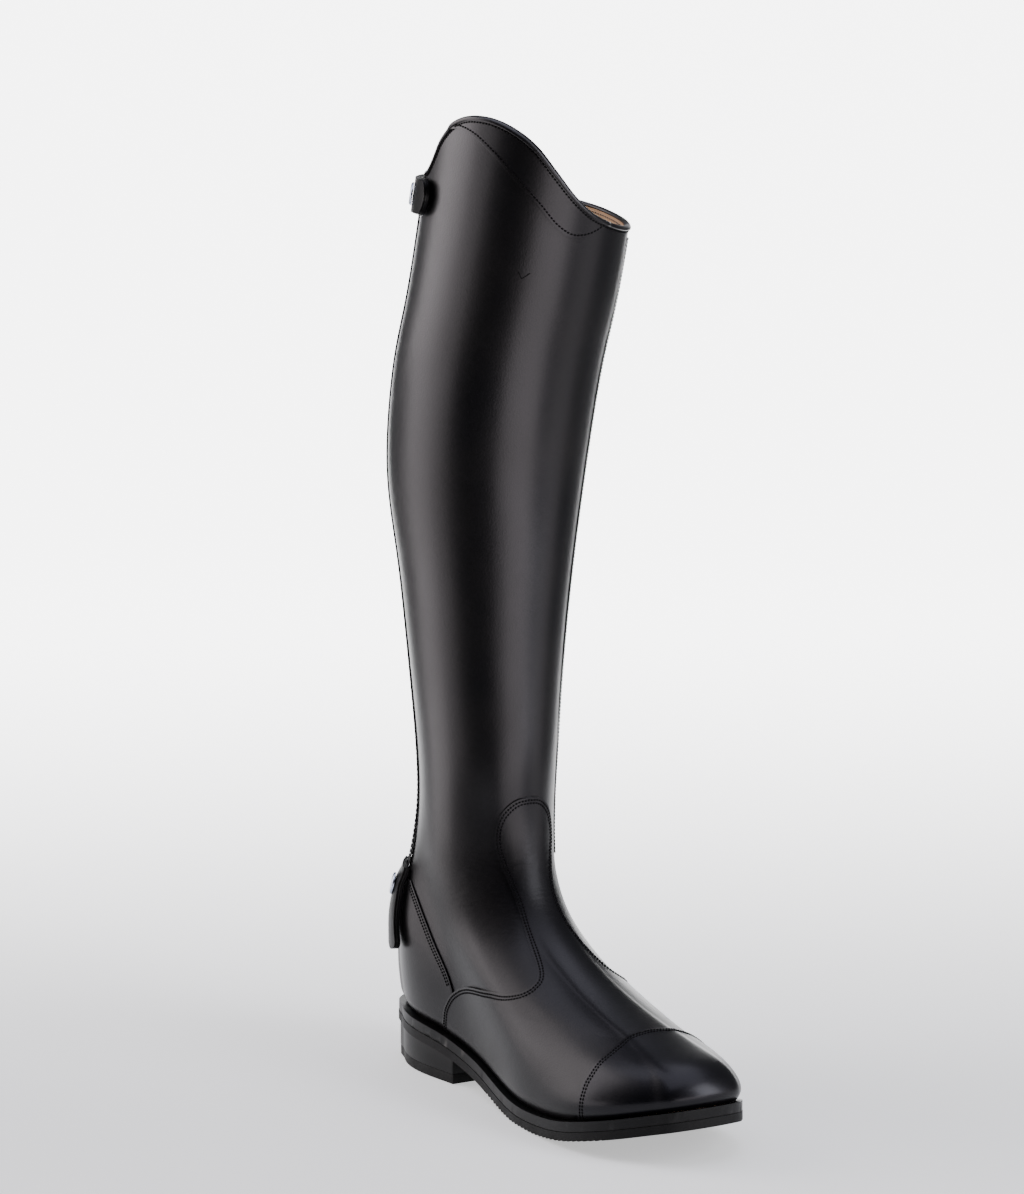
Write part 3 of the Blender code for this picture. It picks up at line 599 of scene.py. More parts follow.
def even_edge(table, count):
    """The edge's phi and level at points that lie evenly along it on the boot."""
    rows = np.array(table, float)
    fine = spline(np.arange(len(rows)), rows, np.linspace(0.0, len(rows) - 1.0, 600))
    points = wall(np.radians(fine[:, 0]), fine[:, 1])
    length = run_length(points)
    at = np.linspace(0.0, length[-1], count)
    return np.radians(np.interp(at, length, fine[:, 0])), np.interp(at, length, fine[:, 1])


def along_edge(edge, share):
    """Phi and level of an edge at shares of its length."""
    steps = np.linspace(0.0, 1.0, len(edge[0]))
    return np.interp(share, steps, edge[0]), np.interp(share, steps, edge[1])


vamp_edge = even_edge(VAMP_EDGE, 400)
counter_edge = even_edge(COUNTER_EDGE, 200)
cap_edge = even_edge(CAP_EDGE, 300)
print("vamp edge starts at level", round(vamp_edge[1][0], 2))

# %% [markdown]
# The vamp covers the foot and ends in a round tongue on the ankle, and the toe cap is sewn on over it.
# The vamp's grid is laid in rows up the foot and the cap's in columns, so that a grid line always runs along
# the sewn edge.

# %% vamp and toe cap
CAP_OUT = 2.2
WELT_LEVEL = 0.06


def lay_vamp(u, v):
    """Rows from the welt up to the tongue's round end."""
    half, level = along_edge(vamp_edge, 1.0 - v)
    return skin((2.0 * u - 1.0) * half, level, PANEL_FACE)


def lay_cap(u, v):
    """Columns from the welt up to the cap's edge."""
    phi, level = along_edge(cap_edge, u)
    return skin(phi, WELT_LEVEL + (level - WELT_LEVEL) * v, CAP_OUT)


CAP_THICK = CAP_OUT - PANEL_FACE - 0.05
sheet("vamp_panel", (130, 150), lay_vamp, PANEL, 0.45, "vamp")
sheet("toe_cap_panel", (150, 56), lay_cap, CAP_THICK, 0.3, "toe_cap", toe_calf)

# %% [markdown]
# The heel counter stiffens the back of the foot, and the top band is a crescent under the raised collar.
# The counter's rows turn round the heel. The band's columns stand between its lower edge and the collar and
# shrink to nothing at both tips.

# %% heel counter and top band
COUNTER_OUT = 0.9
BAND_PHI = np.radians([-91.0, 15.0])
BAND_ABOVE = 1.2


def lay_counter(u, v):
    """Rows that run from the outer edge round the back to the inner edge."""
    edge, level = along_edge(counter_edge, v)
    return skin(math.pi + (1.0 - edge / math.pi) * math.pi * (2.0 * u - 1.0), level, COUNTER_OUT)


def band_low(phi):
    """Level of the band's lower edge."""
    rows = np.array(BAND_EDGE, float)
    return leg_level(spline(rows[:, 0], rows[:, 1], np.degrees(phi)))


def lay_band(u, v):
    """Columns from the band's lower edge to the collar."""
    phi = BAND_PHI[0] + (BAND_PHI[1] - BAND_PHI[0]) * u
    low, high = band_low(phi), leg_level(collar_z(phi) + BAND_ABOVE)
    return skin(phi, low + np.maximum(high - low, 0.001) * v, PANEL_FACE)


COUNTER_THICK = COUNTER_OUT - GAP
sheet("heel_counter_panel", (120, 70), lay_counter, COUNTER_THICK, 0.25, "heel_counter")
sheet("top_band_panel", (130, 24), lay_band, PANEL, 0.35, "top_band")

# %% [markdown]
# The collar is bound with a narrow strip that is folded over the edge and sewn down on both sides.
# A curve with a bevel would make a round tube. A fold has two legs and a rounded back, so its section is
# drawn in a short table and swept round the collar on a grid that closes on itself.

# %% collar binding
BINDING_SECTION = (
    # out, up
    (0.1, 0.5), (0.85, 0.45), (1.15, 0.8), (1.2, 1.4), (0.75, 2.3), (-0.3, 2.9), (-1.5, 2.9),
    (-2.5, 2.3), (-2.75, 1.5), (-2.4, 1.0), (-1.2, 1.1), (0.05, 1.15), (0.1, 0.5),
)


def rim_point(phi):
    """A point on the collar's line."""
    return wall(phi, leg_level(collar_z(phi)))


def lay_binding(u, v):
    """Carries the fold's section square to the collar, and over the band where that lies under it."""
    phi = (2.0 * u - 1.0) * math.pi
    section = np.array(BINDING_SECTION)
    out, up = spline(np.arange(len(section)), section, v * (len(section) - 1)).T
    degrees = np.degrees(phi)
    over_band = PANEL_FACE * ease((degrees + 92.0) / 6.0) * ease((18.0 - degrees) / 4.0)
    out = out + over_band * ease((out + 1.0) / 1.2)
    away = outward(phi, leg_level(collar_z(phi)))
    above = np.cross(away, rim_point(phi + 0.01) - rim_point(phi - 0.01))
    above *= np.sign(above[:, 2:]) / np.linalg.norm(above, axis=-1, keepdims=True)
    return rim_point(phi) + away * out[:, None] + above * up[:, None]


binding = wrapped(300, 45, lay_binding)
keep("rolled_binding", binding, calf, "collar_binding")

# %% [markdown]
# A seam is a row of small slanted stitches. Each stitch is a little flattened bead of thread, half sunk into
# the leather, and a whole seam is one mesh.
# Beads could be instanced on a curve, but joined beads travel with the piece wherever the boot is used.

# %% helpers for seams
STITCH_WIDTH = 0.56
STITCH_LEAN = 0.16
STITCH_SHARE = 0.44
STITCH_HEIGHT = 0.80
bead = bpy.data.meshes.new("bead_of_thread")
bead_bm = bmesh.new()
bmesh.ops.create_uvsphere(bead_bm, u_segments=8, v_segments=5, radius=1.0)
bead_bm.to_mesh(bead)
bead_bm.free()
print("one bead:", len(bead.polygons), "faces")


def stamp(bm, mesh, matrix):
    """Adds a moved copy of a small mesh."""
    copy = mesh.copy()
    copy.transform(matrix)
    bm.from_mesh(copy)
    bpy.data.meshes.remove(copy)


def seam_line(edge, inward):
    """Moves an edge sideways on the leather by some millimetres, to its right as it runs."""
    phi, level = edge
    turn, climb = wall_ways(phi, level)
    way = np.gradient(wall(phi, level), axis=0)
    way /= np.linalg.norm(way, axis=1, keepdims=True) + 1e-9
    side = np.cross(outward(phi, level), way) * inward
    grid = np.stack([turn, climb], -1)
    step = np.array([np.linalg.lstsq(a, b, rcond=None)[0] for a, b in zip(grid, side)])
    return phi + step[:, 0], np.clip(level + step[:, 1], 0.02, TOP_LEVEL)


def sew(bm, line, out, pitch, width=STITCH_WIDTH, trim=0.0):
    """Adds beads of thread along a line of phi and level."""
    phi, level = line
    points = skin(phi, level, out)
    length = run_length(points)
    at = np.arange(trim + pitch / 2.0, length[-1] - trim, pitch)
    middle, ahead = (
        np.stack([np.interp(at + step, length, points[:, k]) for k in range(3)], -1) for step in (0.0, 0.3))
    up = outward(np.interp(at, length, phi), np.interp(at, length, level))
    size = Matrix.Diagonal((pitch * STITCH_SHARE * MM, width * MM, width * STITCH_HEIGHT * MM, 1.0))
    for here, there, above in zip(place(middle), place(ahead), place(middle + up)):
        z_way = (Vector(above) - Vector(here)).normalized()
        x_way = (Vector(there) - Vector(here)).normalized()
        x_way = (x_way + z_way.cross(x_way) * STITCH_LEAN).normalized()
        turn = Matrix((x_way, z_way.cross(x_way), z_way)).transposed().to_4x4()
        stamp(bm, bead, Matrix.Translation(here) @ turn @ size)


def seams(name, lines, out, pitch, material=thread, slot="calf_leather", **how):
    """Sews some lines of phi and level as one piece."""
    bm = bmesh.new()
    for line in lines:
        sew(bm, line, out, pitch, **how)
    keep(name, bm, material)


def mirrored(edge):
    """The same edge on the other side of the boot."""
    return -edge[0], edge[1]


# %% seams of the panels
SEAM_ROWS, COUNTER_ROWS = (1.5, 3.3), (1.6, 3.4)
PANEL_PITCH = 1.9
VAMP_COVERS = 2.45
both_sides = zip(mirrored(vamp_edge), vamp_edge)
vamp_line = [np.concatenate([outer[::-1], inner[1:]]) for outer, inner in both_sides]
vamp_rows = [seam_line(vamp_line, inward) for inward in SEAM_ROWS]
seams("vamp_stitches", vamp_rows, PANEL_FACE, PANEL_PITCH, trim=1.0)
cap_rows = [seam_line(cap_edge, inward) for inward in SEAM_ROWS]
seams("toe_cap_stitches", cap_rows, CAP_OUT, PANEL_PITCH, trim=1.5)
clear_of_vamp = counter_edge[1] > VAMP_COVERS
counter_seam = counter_edge[0][clear_of_vamp], counter_edge[1][clear_of_vamp]
counter_rows = []
for inward in COUNTER_ROWS:
    counter_rows += [seam_line(mirrored(counter_seam), -inward), seam_line(counter_seam, inward)]
seams("counter_stitches", counter_rows, COUNTER_OUT, PANEL_PITCH, trim=1.0)

# %% [markdown]
# One row of stitches runs close under the binding, all round, and one along the band's lower edge. On the
# inside a row in brown thread holds the lining.
# The rows follow the same lines as the pieces, so they need no drawing of their own.

# %% seams under the collar
RIM_ROW, BAND_ROW, LINING_ROW = 0.5, -2.0, 0.9
COLLAR_PITCH = 2.1
LINING_PITCH, LINING_WIDTH = 2.4, 0.42
collar_thread = bmesh.new()
ring = np.linspace(-math.pi, math.pi, 500)
rim_level = leg_level(collar_z(ring))
ring_degrees = np.degrees(ring)
on_band = ease((ring_degrees + 88.0) / 4.0) * ease((16.5 - ring_degrees) / 4.0)
sew(collar_thread, seam_line((ring, rim_level), RIM_ROW), PANEL_FACE * on_band, COLLAR_PITCH)
band_phi = np.linspace(BAND_PHI[0] + 0.06, BAND_PHI[1] - 0.04, 300)
band_line = seam_line((band_phi, band_low(band_phi)), BAND_ROW)
sew(collar_thread, band_line, PANEL_FACE, COLLAR_PITCH)
keep("collar_stitches", collar_thread, thread)
lining_rows = [seam_line((ring, rim_level), LINING_ROW)]
lining_face = LINING_OUT - LINING_THICK
seams("lining_stitches", lining_rows, lining_face, LINING_PITCH, lining_thread, "lining_leather",
      width=LINING_WIDTH)

# %% [markdown]
# The inner half of the leg is a second piece of leather whose front edge laps over the shin. From the camera
# it is only a fine raised edge with a row of stitches. A whole second wall would hide in the first one, so
# a narrow strip carries both.

# %% lapped edge on the inner side
LAP_LINE = (
    # degrees, level
    (57.0, 6.20), (53.5, 6.90), (51.0, 7.60), (46.0, 8.60), (44.0, 9.57), (44.5, 10.3), (45.5, 10.97),
    (46.0, 11.7), (47.0, 12.31), (49.5, 12.9), (51.5, 13.26),
)
LAP_WIDTH = 5.0
LAP_THICK = 0.5
LAP_SHEET = 0.1
LAP_ROW = 1.6
lap_edge = even_edge(LAP_LINE, 300)


def beside(phi, level, aside):
    """Phi of a point some millimetres aside on the leather."""
    turn, _ = wall_ways(phi, level)
    return phi + aside / np.linalg.norm(turn, axis=-1)


def lay_lap(u, v):
    """A strip of even width behind the lap's edge."""
    phi, level = along_edge(lap_edge, v)
    return skin(beside(phi, level, u * LAP_WIDTH), level, LAP_SHEET + LAP_THICK * (1.0 - 0.85 * u))


sheet("inner_lap", (6, 200), lay_lap, LAP_SHEET, 0.0)
lap_face = LAP_SHEET + LAP_THICK * 0.75
seams("lap_stitches", [seam_line(lap_edge, LAP_ROW)], lap_face, COLLAR_PITCH)

# %% [markdown]
# The leg has one small nick, two short strokes that meet in a point. It could be cut into the wall, but the
# grid there is coarser than the strokes, so dark beads no wider than a stitch mark it.

# %% a nick in the leather
NICK = (
    # degrees, z, degrees, z
    (-33.5, 457.6, -31.0, 453.6),
    (-31.2, 453.8, -26.8, 457.0),
)
NICK_PITCH, NICK_WIDTH = 0.7, 0.42
strokes = []
for from_phi, from_z, to_phi, to_z in NICK:
    strokes.append((np.radians(np.linspace(from_phi, to_phi, 8)), leg_level(np.linspace(from_z, to_z, 8))))
seams("small_nick", strokes, 0.0, NICK_PITCH, width=NICK_WIDTH)

# %% [markdown]
# The zip climbs the outer back. It is a woven tape with two rows of teeth that meet in the middle. The teeth
# are small bevelled blocks, set left and right in turn, as closed teeth are.
# An array along a curve could repeat one tooth, but joined blocks travel with the piece, as the stitches do.

# %% zip tape
ZIP_PHI = math.radians(-136.0)
ZIP_OUT = 0.5
TAPE_WIDTH, TAPE_THICK = 14.0, 0.45
ZIP_LOW = 5.22
ZIP_TOP = leg_level(collar_z(np.array([ZIP_PHI])))[0] - 0.03


def strip_point(aside, level, out):
    """A point beside the zip's middle line, aside in millimetres."""
    phi = np.full_like(np.asarray(level, float), ZIP_PHI)
    return skin(beside(phi, level, aside), level, out)


def lay_tape(u, v):
    """The tape's face, a little hollow towards the teeth."""
    level = ZIP_LOW + (ZIP_TOP - ZIP_LOW) * v
    return strip_point((u - 0.5) * TAPE_WIDTH, level, ZIP_OUT + 0.55 + 0.25 * np.abs(2.0 * u - 1.0))


sheet("zip_tape", (16, 220), lay_tape, TAPE_THICK, 0.0, "back_zip", zip_tape)

# %% zip teeth and seams
TOOTH_SIZE = Vector((3.6, 1.05, 0.75)) * MM
TOOTH_PITCH, TOOTH_ASIDE, TOOTH_OUT = 1.5, 1.1, ZIP_OUT + 0.85
ZIP_ROW, ZIP_PITCH = 9.2, 2.4
tooth_bm = bmesh.new()
bmesh.ops.create_cube(tooth_bm, size=1.0, matrix=Matrix.Diagonal((*TOOTH_SIZE, 1.0)))
roll_edges(tooth_bm, tooth_bm.edges[:], 0.15, segments=2)
tooth = bpy.data.meshes.new("one_tooth")
tooth_bm.to_mesh(tooth)
tooth_bm.free()
teeth = bmesh.new()
zip_levels = np.linspace(ZIP_LOW + 0.04, ZIP_TOP - 0.02, 900)
middle_line = strip_point(0.0, zip_levels, 0.0)
run = run_length(middle_line)
tooth_spots = np.arange(1.0, run[-1] - 1.0, TOOTH_PITCH)
for k, at in enumerate(tooth_spots):
    level = np.array([np.interp(at, run, zip_levels)])
    aside = TOOTH_ASIDE if k % 2 else -TOOTH_ASIDE
    here = Vector(place(strip_point(aside, level, TOOTH_OUT))[0])
    above = Vector(place(strip_point(aside, level + 0.01, TOOTH_OUT))[0])
    out_way = Vector(place(strip_point(aside, level, TOOTH_OUT + 1.0))[0])
    z_way = (out_way - here).normalized()
    y_way = (above - here).normalized()
    turn = Matrix((y_way.cross(z_way), y_way, z_way)).transposed().to_4x4()
    stamp(teeth, tooth, Matrix.Translation(here) @ turn)
keep("zip_teeth", teeth, zip_metal)
line_level = np.linspace(ZIP_LOW + 0.13, ZIP_TOP - 0.05, 500)
line_phi = np.full_like(line_level, ZIP_PHI)
zip_rows = [(beside(line_phi, line_level, aside), line_level) for aside in (-ZIP_ROW, ZIP_ROW)]
seams("zip_stitches", zip_rows, 0.0, ZIP_PITCH)
print("teeth:", len(tooth_spots))

# %% [markdown]
# Two leather tabs with press studs hold the zip's ends. Each tab is three plies glued and sewn together, so
# the plies are made one by one, and their rolled edges show as fine lines from the side.
# One thick block would be simpler, but its edge would be blank.

# %% tabs
TAB_OUT = 2.2
PLY = 1.05
PLY_STEP = 1.15
TAB_STACK = 3.5
TAB_ENDS = (-150.0, -98.0)
TAB_MIDDLE, TAB_TALL = 495.25, 20.4
TAB_SNAP_PHI = math.radians(-123.0)


def lay_top_tab(ply):
    """One ply of the tab across the top of the zip, its ends rounded."""
    def lay(u, v):
        end = np.abs(2.0 * u - 1.0)
        squeeze = np.sqrt(np.clip(1.0 - np.clip((end - 0.74) / 0.26, 0.0, 1.0) ** 2.2, 0.02, 1.0))
        height = TAB_MIDDLE + (v - 0.5) * (TAB_TALL - 0.5 * ply) * squeeze
        phi = np.radians(TAB_ENDS[0] + (TAB_ENDS[1] - TAB_ENDS[0]) * u)
        return skin(phi, leg_level(height), TAB_OUT + PLY_STEP * ply + PLY)
    return lay


GUARD_LEVELS = (2.90, 5.42)
GUARD_WIDTH = 23.0


def guard_level(v):
    """Level at a share of the guard's height."""
    return GUARD_LEVELS[0] + (GUARD_LEVELS[1] - GUARD_LEVELS[0]) * v


def guard_out(v):
    """The guard stands off the heel towards its lower end and is sewn down over the zip at its upper end."""
    return TAB_OUT + 0.5 + 1.4 * (1.0 - v) ** 2 - 1.9 * ease((v - 0.78) / 0.20)


def lay_guard(ply):
    """One ply of the guard over the zip's lower end, round at the bottom."""
    def lay(u, v):
        low = np.clip((0.22 - v) / 0.22, 0.0, 1.0)
        squeeze = np.sqrt(np.clip(1.0 - low ** 2.2, 0.02, 1.0))
        width = GUARD_WIDTH * squeeze * (0.86 + 0.14 * (1.0 - v)) - 0.5 * ply
        return strip_point((u - 0.5) * width, guard_level(v), guard_out(v) + PLY_STEP * ply + PLY)
    return lay


for node, make in (("top_tab", lay_top_tab), ("zip_guard", lay_guard)):
    for ply, leather in enumerate((tab_leather, edge_leather, tab_leather)):
        sheet(f"{node}_ply_{ply}", (40, 40), make(ply), PLY, 0.3, node, leather)

# %% [markdown]
# A press stud closes each tab. Its cap is turned from sheet metal, with a raised rim and a dished middle.
# Stacked cylinders would give hard steps, so half the profile is drawn and spun once round.

# %% press studs
SNAP_PROFILE = (
    # radius, height
    (6.4, 0.0), (6.5, 0.5), (6.2, 1.1), (5.2, 1.55), (4.4, 1.62), (3.9, 1.45), (2.4, 1.55), (0.0, 1.7),
)


def snap(name, phi, level, out, node):
    """A turned cap, square to the tab."""
    bm = bmesh.new()
    line = [bm.verts.new((radius * MM, 0.0, height * MM)) for radius, height in SNAP_PROFILE]
    edges = [bm.edges.new(pair) for pair in zip(line[:-1], line[1:])]
    bmesh.ops.spin(bm, geom=line + edges, cent=(0, 0, 0), axis=(0, 0, 1), angle=2.0 * math.pi, steps=40,
                   use_merge=True, use_duplicate=False)
    bmesh.ops.remove_doubles(bm, verts=bm.verts, dist=0.01 * MM)
    bmesh.ops.holes_fill(bm, edges=[edge for edge in bm.edges if edge.is_boundary], sides=0)
    phi, level = np.array([phi]), np.array([level])
    here = Vector(place(skin(phi, level, out))[0])
    there = Vector(place(skin(phi, level, out + 1.0))[0])
    turn = (there - here).normalized().to_track_quat("Z", "Y").to_matrix().to_4x4()
    bmesh.ops.transform(bm, matrix=Matrix.Translation(here) @ turn, verts=bm.verts)
    keep(name, bm, snap_metal, node)


GUARD_SNAP = 0.75
guard_face = guard_out(GUARD_SNAP) + TAB_STACK
snap("top_tab_stud", TAB_SNAP_PHI, leg_level(TAB_MIDDLE), TAB_OUT + TAB_STACK, "top_tab_snap")
snap("zip_guard_stud", ZIP_PHI, guard_level(GUARD_SNAP), guard_face, "zip_guard_snap")

# %% [markdown]
# The sole is built up from flat pieces: insole, welt, ribbed outsole, heel block and top lift. Each follows
# the feather line, a little further out. The grid of a sole piece runs across the foot from edge to edge,
# so that it can dip between the ribs, and is then pulled up to its thickness in one extrusion.

# %% helpers for sole pieces


def sole_rim(phi, out):
    """The feather line in plan, moved outwards."""
    lowest = np.zeros_like(phi)
    turn, _ = wall_ways(phi, lowest)
    across = np.stack([turn[..., 1], -turn[..., 0], lowest], -1)
    return wall(phi, lowest) + turned_out(across, phi) * out


def slab(name, material, node, columns, out, low, high, roll, last_phi=0.0):
    """A sole piece from the heel's back to last_phi, between the heights low(s) and high(s)."""
    def lay(u, v):
        phi = math.pi + (last_phi - math.pi) * u
        outer, inner = sole_rim(-phi, out), sole_rim(phi, out)
        point = outer + (inner - outer) * v[:, None]
        point[:, 2] = low(point[:, 1])
        return point
    bm = wrapped(columns, 10, lay)
    bm.normal_update()
    pulled = bmesh.ops.extrude_face_region(bm, geom=bm.faces[:])["geom"]
    for vert in (item for item in pulled if isinstance(item, bmesh.types.BMVert)):
        vert.co.z = float(high(FRAME_S - vert.co.y / MM)) * MM
    bmesh.ops.recalc_face_normals(bm, faces=bm.faces)
    if roll:
        roll_edges(bm, sharp_edges(bm, 1.0), roll)
    keep(name, bm, material, node)


def from_feather(rise):
    """A height that stays a rise above the feather line, and never goes under the floor."""
    return lambda s: np.maximum(feather_z(s) + rise, 0.0)


def at_height(z):
    """The same height everywhere."""
    return lambda s: np.full_like(s, z)


# %% [markdown]
# The welt is the leather strip that upper and outsole are sewn to, and the outsole is rubber with saw-tooth
# ribs under the forefoot. The insole closes the boot inside.
# The ribs could be cut with many booleans. Here the height of the underside dips between them instead, which
# only needs enough columns in the grid.

# %% welt, outsole and insole
RIB_FIRST, RIB_LAST, RIB_PITCH, RIB_DEPTH = 128.0, 254.0, 4.0, 1.6
WELT_OUT, OUTSOLE_OUT, INSOLE_OUT = 3.4, 3.6, -4.6


def tread_z(s):
    """Underside of the outsole, with saw-tooth ribs across the forefoot."""
    flat = from_feather(-10.6)(s)
    tooth = ((s - RIB_FIRST) / RIB_PITCH) % 1.0
    notch = np.clip(1.0 - np.abs(tooth - 0.5) / 0.28, 0.0, 1.0) * RIB_DEPTH
    return flat + notch * ease((s - RIB_FIRST) / 3.0) * ease((RIB_LAST - s) / 3.0)


slab("welt_strip", edge_leather, "welt", 200, WELT_OUT,
     from_feather(-5.3), from_feather(0.2), 2.0)
slab("ribbed_outsole", sole_rubber, "outsole", 620, OUTSOLE_OUT,
     tread_z, from_feather(-5.6), 0.0)
slab("insole_board", lining_leather, "insole", 120, INSOLE_OUT,
     from_feather(0.0), from_feather(3.0), 0.4)

# %% [markdown]
# The heel is a block of stacked leather on a thin rubber lift, both cut straight at the breast, towards the
# waist. They are slabs like the others, whose grids end at the breast instead of the toe.

# %% heel
BREAST_S = 88.0
HEEL_OUT, LIFT_OUT = 2.6, 2.4
breast_phi = math.acos(2.0 * (BREAST_S - LOOPS[0, 0]) / (LOOPS[0, 2] - LOOPS[0, 0]) - 1.0)
slab("stacked_heel", edge_leather, "heel_block", 90, HEEL_OUT,
     at_height(5.8), from_feather(-10.9), 0.35, breast_phi)
slab("top_lift_rubber", sole_rubber, "top_lift", 90, LIFT_OUT,
     at_height(0.0), at_height(5.5), 0.35, breast_phi)

# %% [markdown]
# The studio is a sheet of pale paper: flat under the boot, then curving up far behind it, so there is no
# horizon. It glows a little, more towards the back, and is cut just above the picture and narrowed in front,
# because the leather mirrors whatever goes further.
# A white world would be simpler, but it turns black leather grey from all sides.

# %% paper sweep
VIEW_AZIMUTH = math.radians(-29.53)
PAPER_DROP = 0.0003
PAPER_HALF = 0.74
PAPER_TAPER = 0.5
PAPER_FRONT, PAPER_BACK = 0.45, 1.7
PAPER_RADIUS = 1.0
PAPER_TURN = math.radians(75.0)
GLOW_DEPTHS, GLOW = (-0.1, 1.6), (0.60, 5.5)


def lies_along(tree, space, azimuth):
    """How far a point or a view lies along a level direction."""
    where = tree.nodes.new("ShaderNodeTexCoord").outputs[space]
    wires = ((0, where), (1, (math.sin(azimuth), -math.cos(azimuth), 0.0)))
    return linked(tree, "ShaderNodeVectorMath", wires, operation="DOT_PRODUCT").outputs["Value"]


paper_bm = bmesh.new()
front_corner = paper_bm.verts.new((-PAPER_HALF, -PAPER_FRONT, 0.0))
back_corner = paper_bm.verts.new((-PAPER_HALF, PAPER_BACK, 0.0))
paper_bm.edges.new((front_corner, back_corner))
bmesh.ops.spin(paper_bm, geom=[back_corner], cent=(0.0, PAPER_BACK, PAPER_RADIUS), axis=(1.0, 0.0, 0.0),
               angle=PAPER_TURN, steps=32)
across = bmesh.ops.extrude_edge_only(paper_bm, edges=paper_bm.edges[:])["geom"]
far_side = [item for item in across if isinstance(item, bmesh.types.BMVert)]
bmesh.ops.translate(paper_bm, verts=far_side, vec=(2.0 * PAPER_HALF, 0.0, 0.0))
near_corners = [vert for vert in paper_bm.verts if vert.co.y < 0.0]
bmesh.ops.scale(paper_bm, vec=(PAPER_TAPER, 1.0, 1.0), verts=near_corners)
facing_camera = Matrix.Rotation(VIEW_AZIMUTH, 3, "Z")
bmesh.ops.rotate(paper_bm, verts=paper_bm.verts, cent=(0.0, 0.0, 0.0), matrix=facing_camera)
bmesh.ops.translate(paper_bm, verts=paper_bm.verts, vec=(0.0, 0.0, -PAPER_DROP))
bmesh.ops.recalc_face_normals(paper_bm, faces=paper_bm.faces)
paper_mesh = bpy.data.meshes.new("paper_sweep")
paper_bm.to_mesh(paper_mesh)
paper_bm.free()
paper_mesh.shade_smooth()
sweep = bpy.data.objects.new("paper_sweep", paper_mesh)
bpy.context.scene.collection.objects.link(sweep)
paper = bpy.data.materials.new("pale_paper")
paper.use_nodes = True
sheet_shader = paper.node_tree.nodes["Principled BSDF"]
sheet_shader.inputs["Base Color"].default_value = (0.45, 0.45, 0.45, 1.0)
sheet_shader.inputs["Roughness"].default_value = 0.9
sheet_shader.inputs["Emission Color"].default_value = (1.0, 1.0, 1.0, 1.0)
depth = lies_along(paper.node_tree, "Object", VIEW_AZIMUTH + math.pi)
glow = ramp(paper.node_tree, depth, *GLOW_DEPTHS, *GLOW)
paper.node_tree.links.new(glow, sheet_shader.inputs["Emission Strength"])
paper_mesh.materials.append(paper)
print("paper:", len(paper_mesh.polygons), "faces")

# %% [markdown]
# Black leather shows its shape only through what it mirrors. Soft lamps stand where the broad bands on leg
# and toe mirror them, split by height so that each band can lean and end as it does, and the air is dark on
# the side whose mirror image is the dark band down the leg.
# A picture of a real studio could light the scene, but its bands would lie anywhere.

# %% lamps and air
WARM, COOL, SKY = (1.0, 0.94, 0.95), (0.93, 0.94, 1.0), (0.84, 0.85, 1.0)


def softbox(name, azimuth, height, distance, breadth, tall, glow, tint=WARM, aim_z=None):
    """A soft rectangular lamp of an even glow that looks at the boot, level unless aim_z is given."""
    lamp = bpy.data.lights.new(name, "AREA")
    lamp.shape = "RECTANGLE"
    lamp.size, lamp.size_y, lamp.color = breadth, tall, tint
    lamp.energy = glow * breadth * tall * math.pi
    item = bpy.data.objects.new(name, lamp)
    turn = math.radians(azimuth)
    item.location = (math.sin(turn) * distance, -math.cos(turn) * distance, height)
    aim = Vector((0.0, 0.05, height if aim_z is None else aim_z))
    item.rotation_euler = (item.location - aim).to_track_quat("Z", "Y").to_euler()
    bpy.context.scene.collection.objects.link(item)


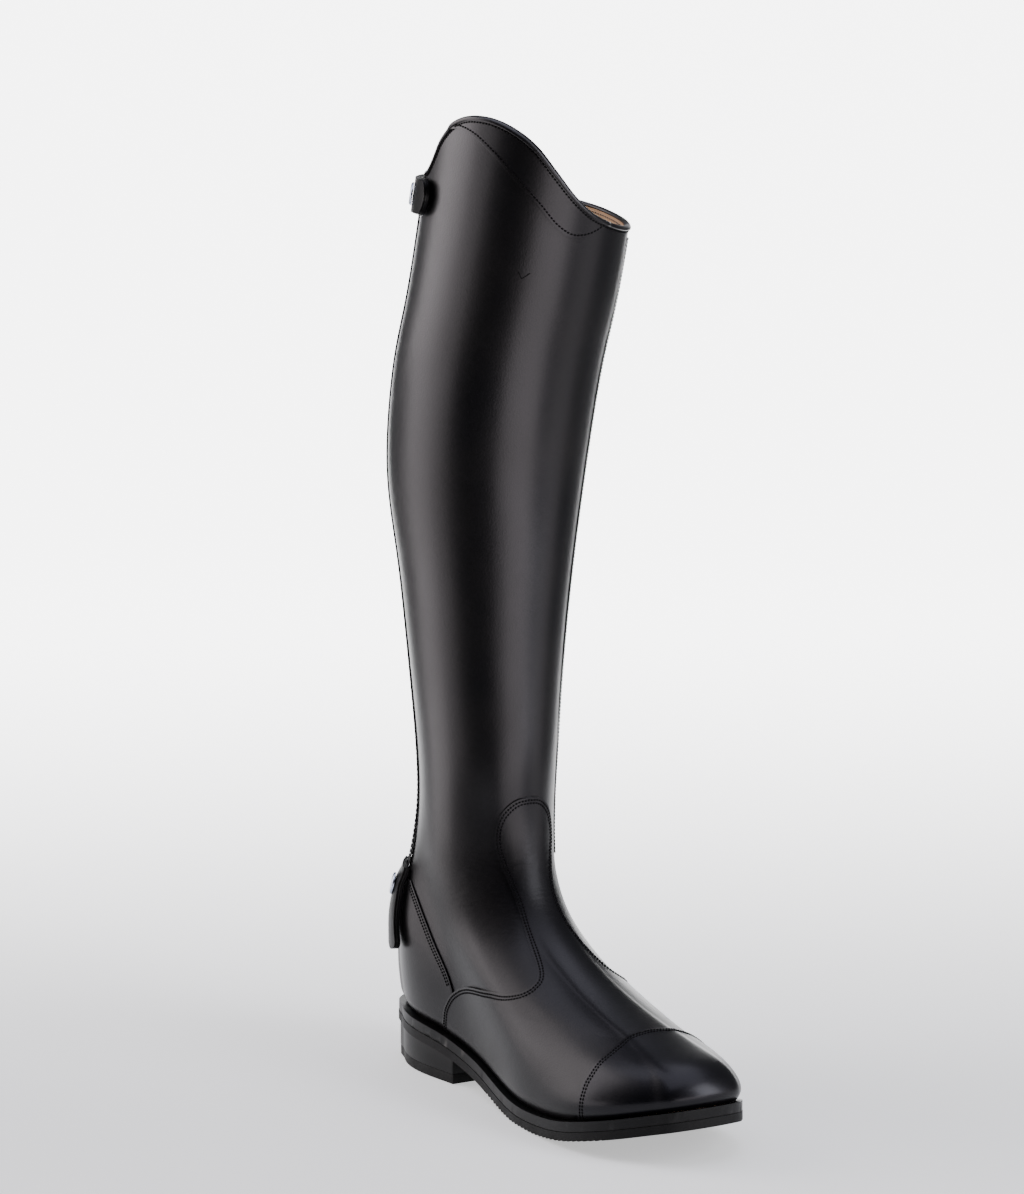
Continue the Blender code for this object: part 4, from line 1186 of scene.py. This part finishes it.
softbox("left_middle_box", -121.0, 0.10, 2.0, 1.9, 0.5, 4.0)
softbox("left_low_box", -134.0, -0.75, 2.0, 1.2, 1.2, 4.6)
softbox("left_high_box", -136.0, 1.40, 2.0, 1.5, 2.1, 6.2)
softbox("front_middle_box", 1.0, 0.10, 2.2, 2.0, 0.5, 5.0)
softbox("front_low_box", -12.0, -0.80, 2.2, 2.0, 1.3, 5.0)
softbox("front_side_fill", 50.0, -0.55, 2.2, 1.2, 1.8, 1.3)
softbox("toe_box", 30.0, 1.45, 2.2, 1.3, 2.4, 11.0, COOL)
softbox("ceiling_bounce", 0.0, 2.6, 0.01, 3.0, 3.0, 2.8, SKY, aim_z=0.28)
DARK_AZIMUTH = math.radians(-58.0)
HAZE_TURN, HAZE = (-0.2, 0.6), (0.20, 0.015)
world = bpy.data.worlds.new("studio_air")
world.use_nodes = True
background = world.node_tree.nodes["Background"]
background.inputs["Color"].default_value = (0.94, 0.95, 1.0, 1.0)
haze = ramp(world.node_tree, lies_along(world.node_tree, "Generated", DARK_AZIMUTH), *HAZE_TURN, *HAZE)
world.node_tree.links.new(haze, background.inputs["Strength"])
bpy.context.scene.world = world
print("lamps:", len(bpy.data.lights))

# %% [markdown]
# The camera stands to the front of the outer side, a little above the boot, with a long lens, as a catalogue
# camera does. Its place was found by laying the last's outline over the picture. A short lens close by would
# also frame the boot, but it would swell the toe.

# %% camera
VIEW_DISTANCE = 2.300
VIEW_HEIGHT = 0.660
VIEW_FOCUS = Vector((-FRAME_X * MM, (FRAME_S - 70.0) * MM, 0.280))
PICTURE = (1024.0, 1194.0)
PICTURE_CENTRE = (487.07, 583.23)
FOCAL_PIXELS = 4174.96
SENSOR = 36.0
lens = bpy.data.cameras.new("portrait_camera")
lens.sensor_fit = "HORIZONTAL"
lens.sensor_width = SENSOR
lens.lens = FOCAL_PIXELS * SENSOR / PICTURE[0]
lens.shift_x = (PICTURE[0] / 2.0 - PICTURE_CENTRE[0]) / PICTURE[0]
lens.shift_y = -(PICTURE[1] / 2.0 - PICTURE_CENTRE[1]) / PICTURE[0]
lens.clip_end = 50.0
camera = bpy.data.objects.new("portrait_camera", lens)
offset = Vector((math.sin(VIEW_AZIMUTH) * VIEW_DISTANCE, -math.cos(VIEW_AZIMUTH) * VIEW_DISTANCE, 0.0))
camera.location = Vector((VIEW_FOCUS.x, VIEW_FOCUS.y, VIEW_HEIGHT)) + offset
camera.rotation_euler = (camera.location - VIEW_FOCUS).to_track_quat("Z", "Y").to_euler()
bpy.context.scene.collection.objects.link(camera)
bpy.context.scene.camera = camera
print("camera at", [round(value, 3) for value in camera.location])
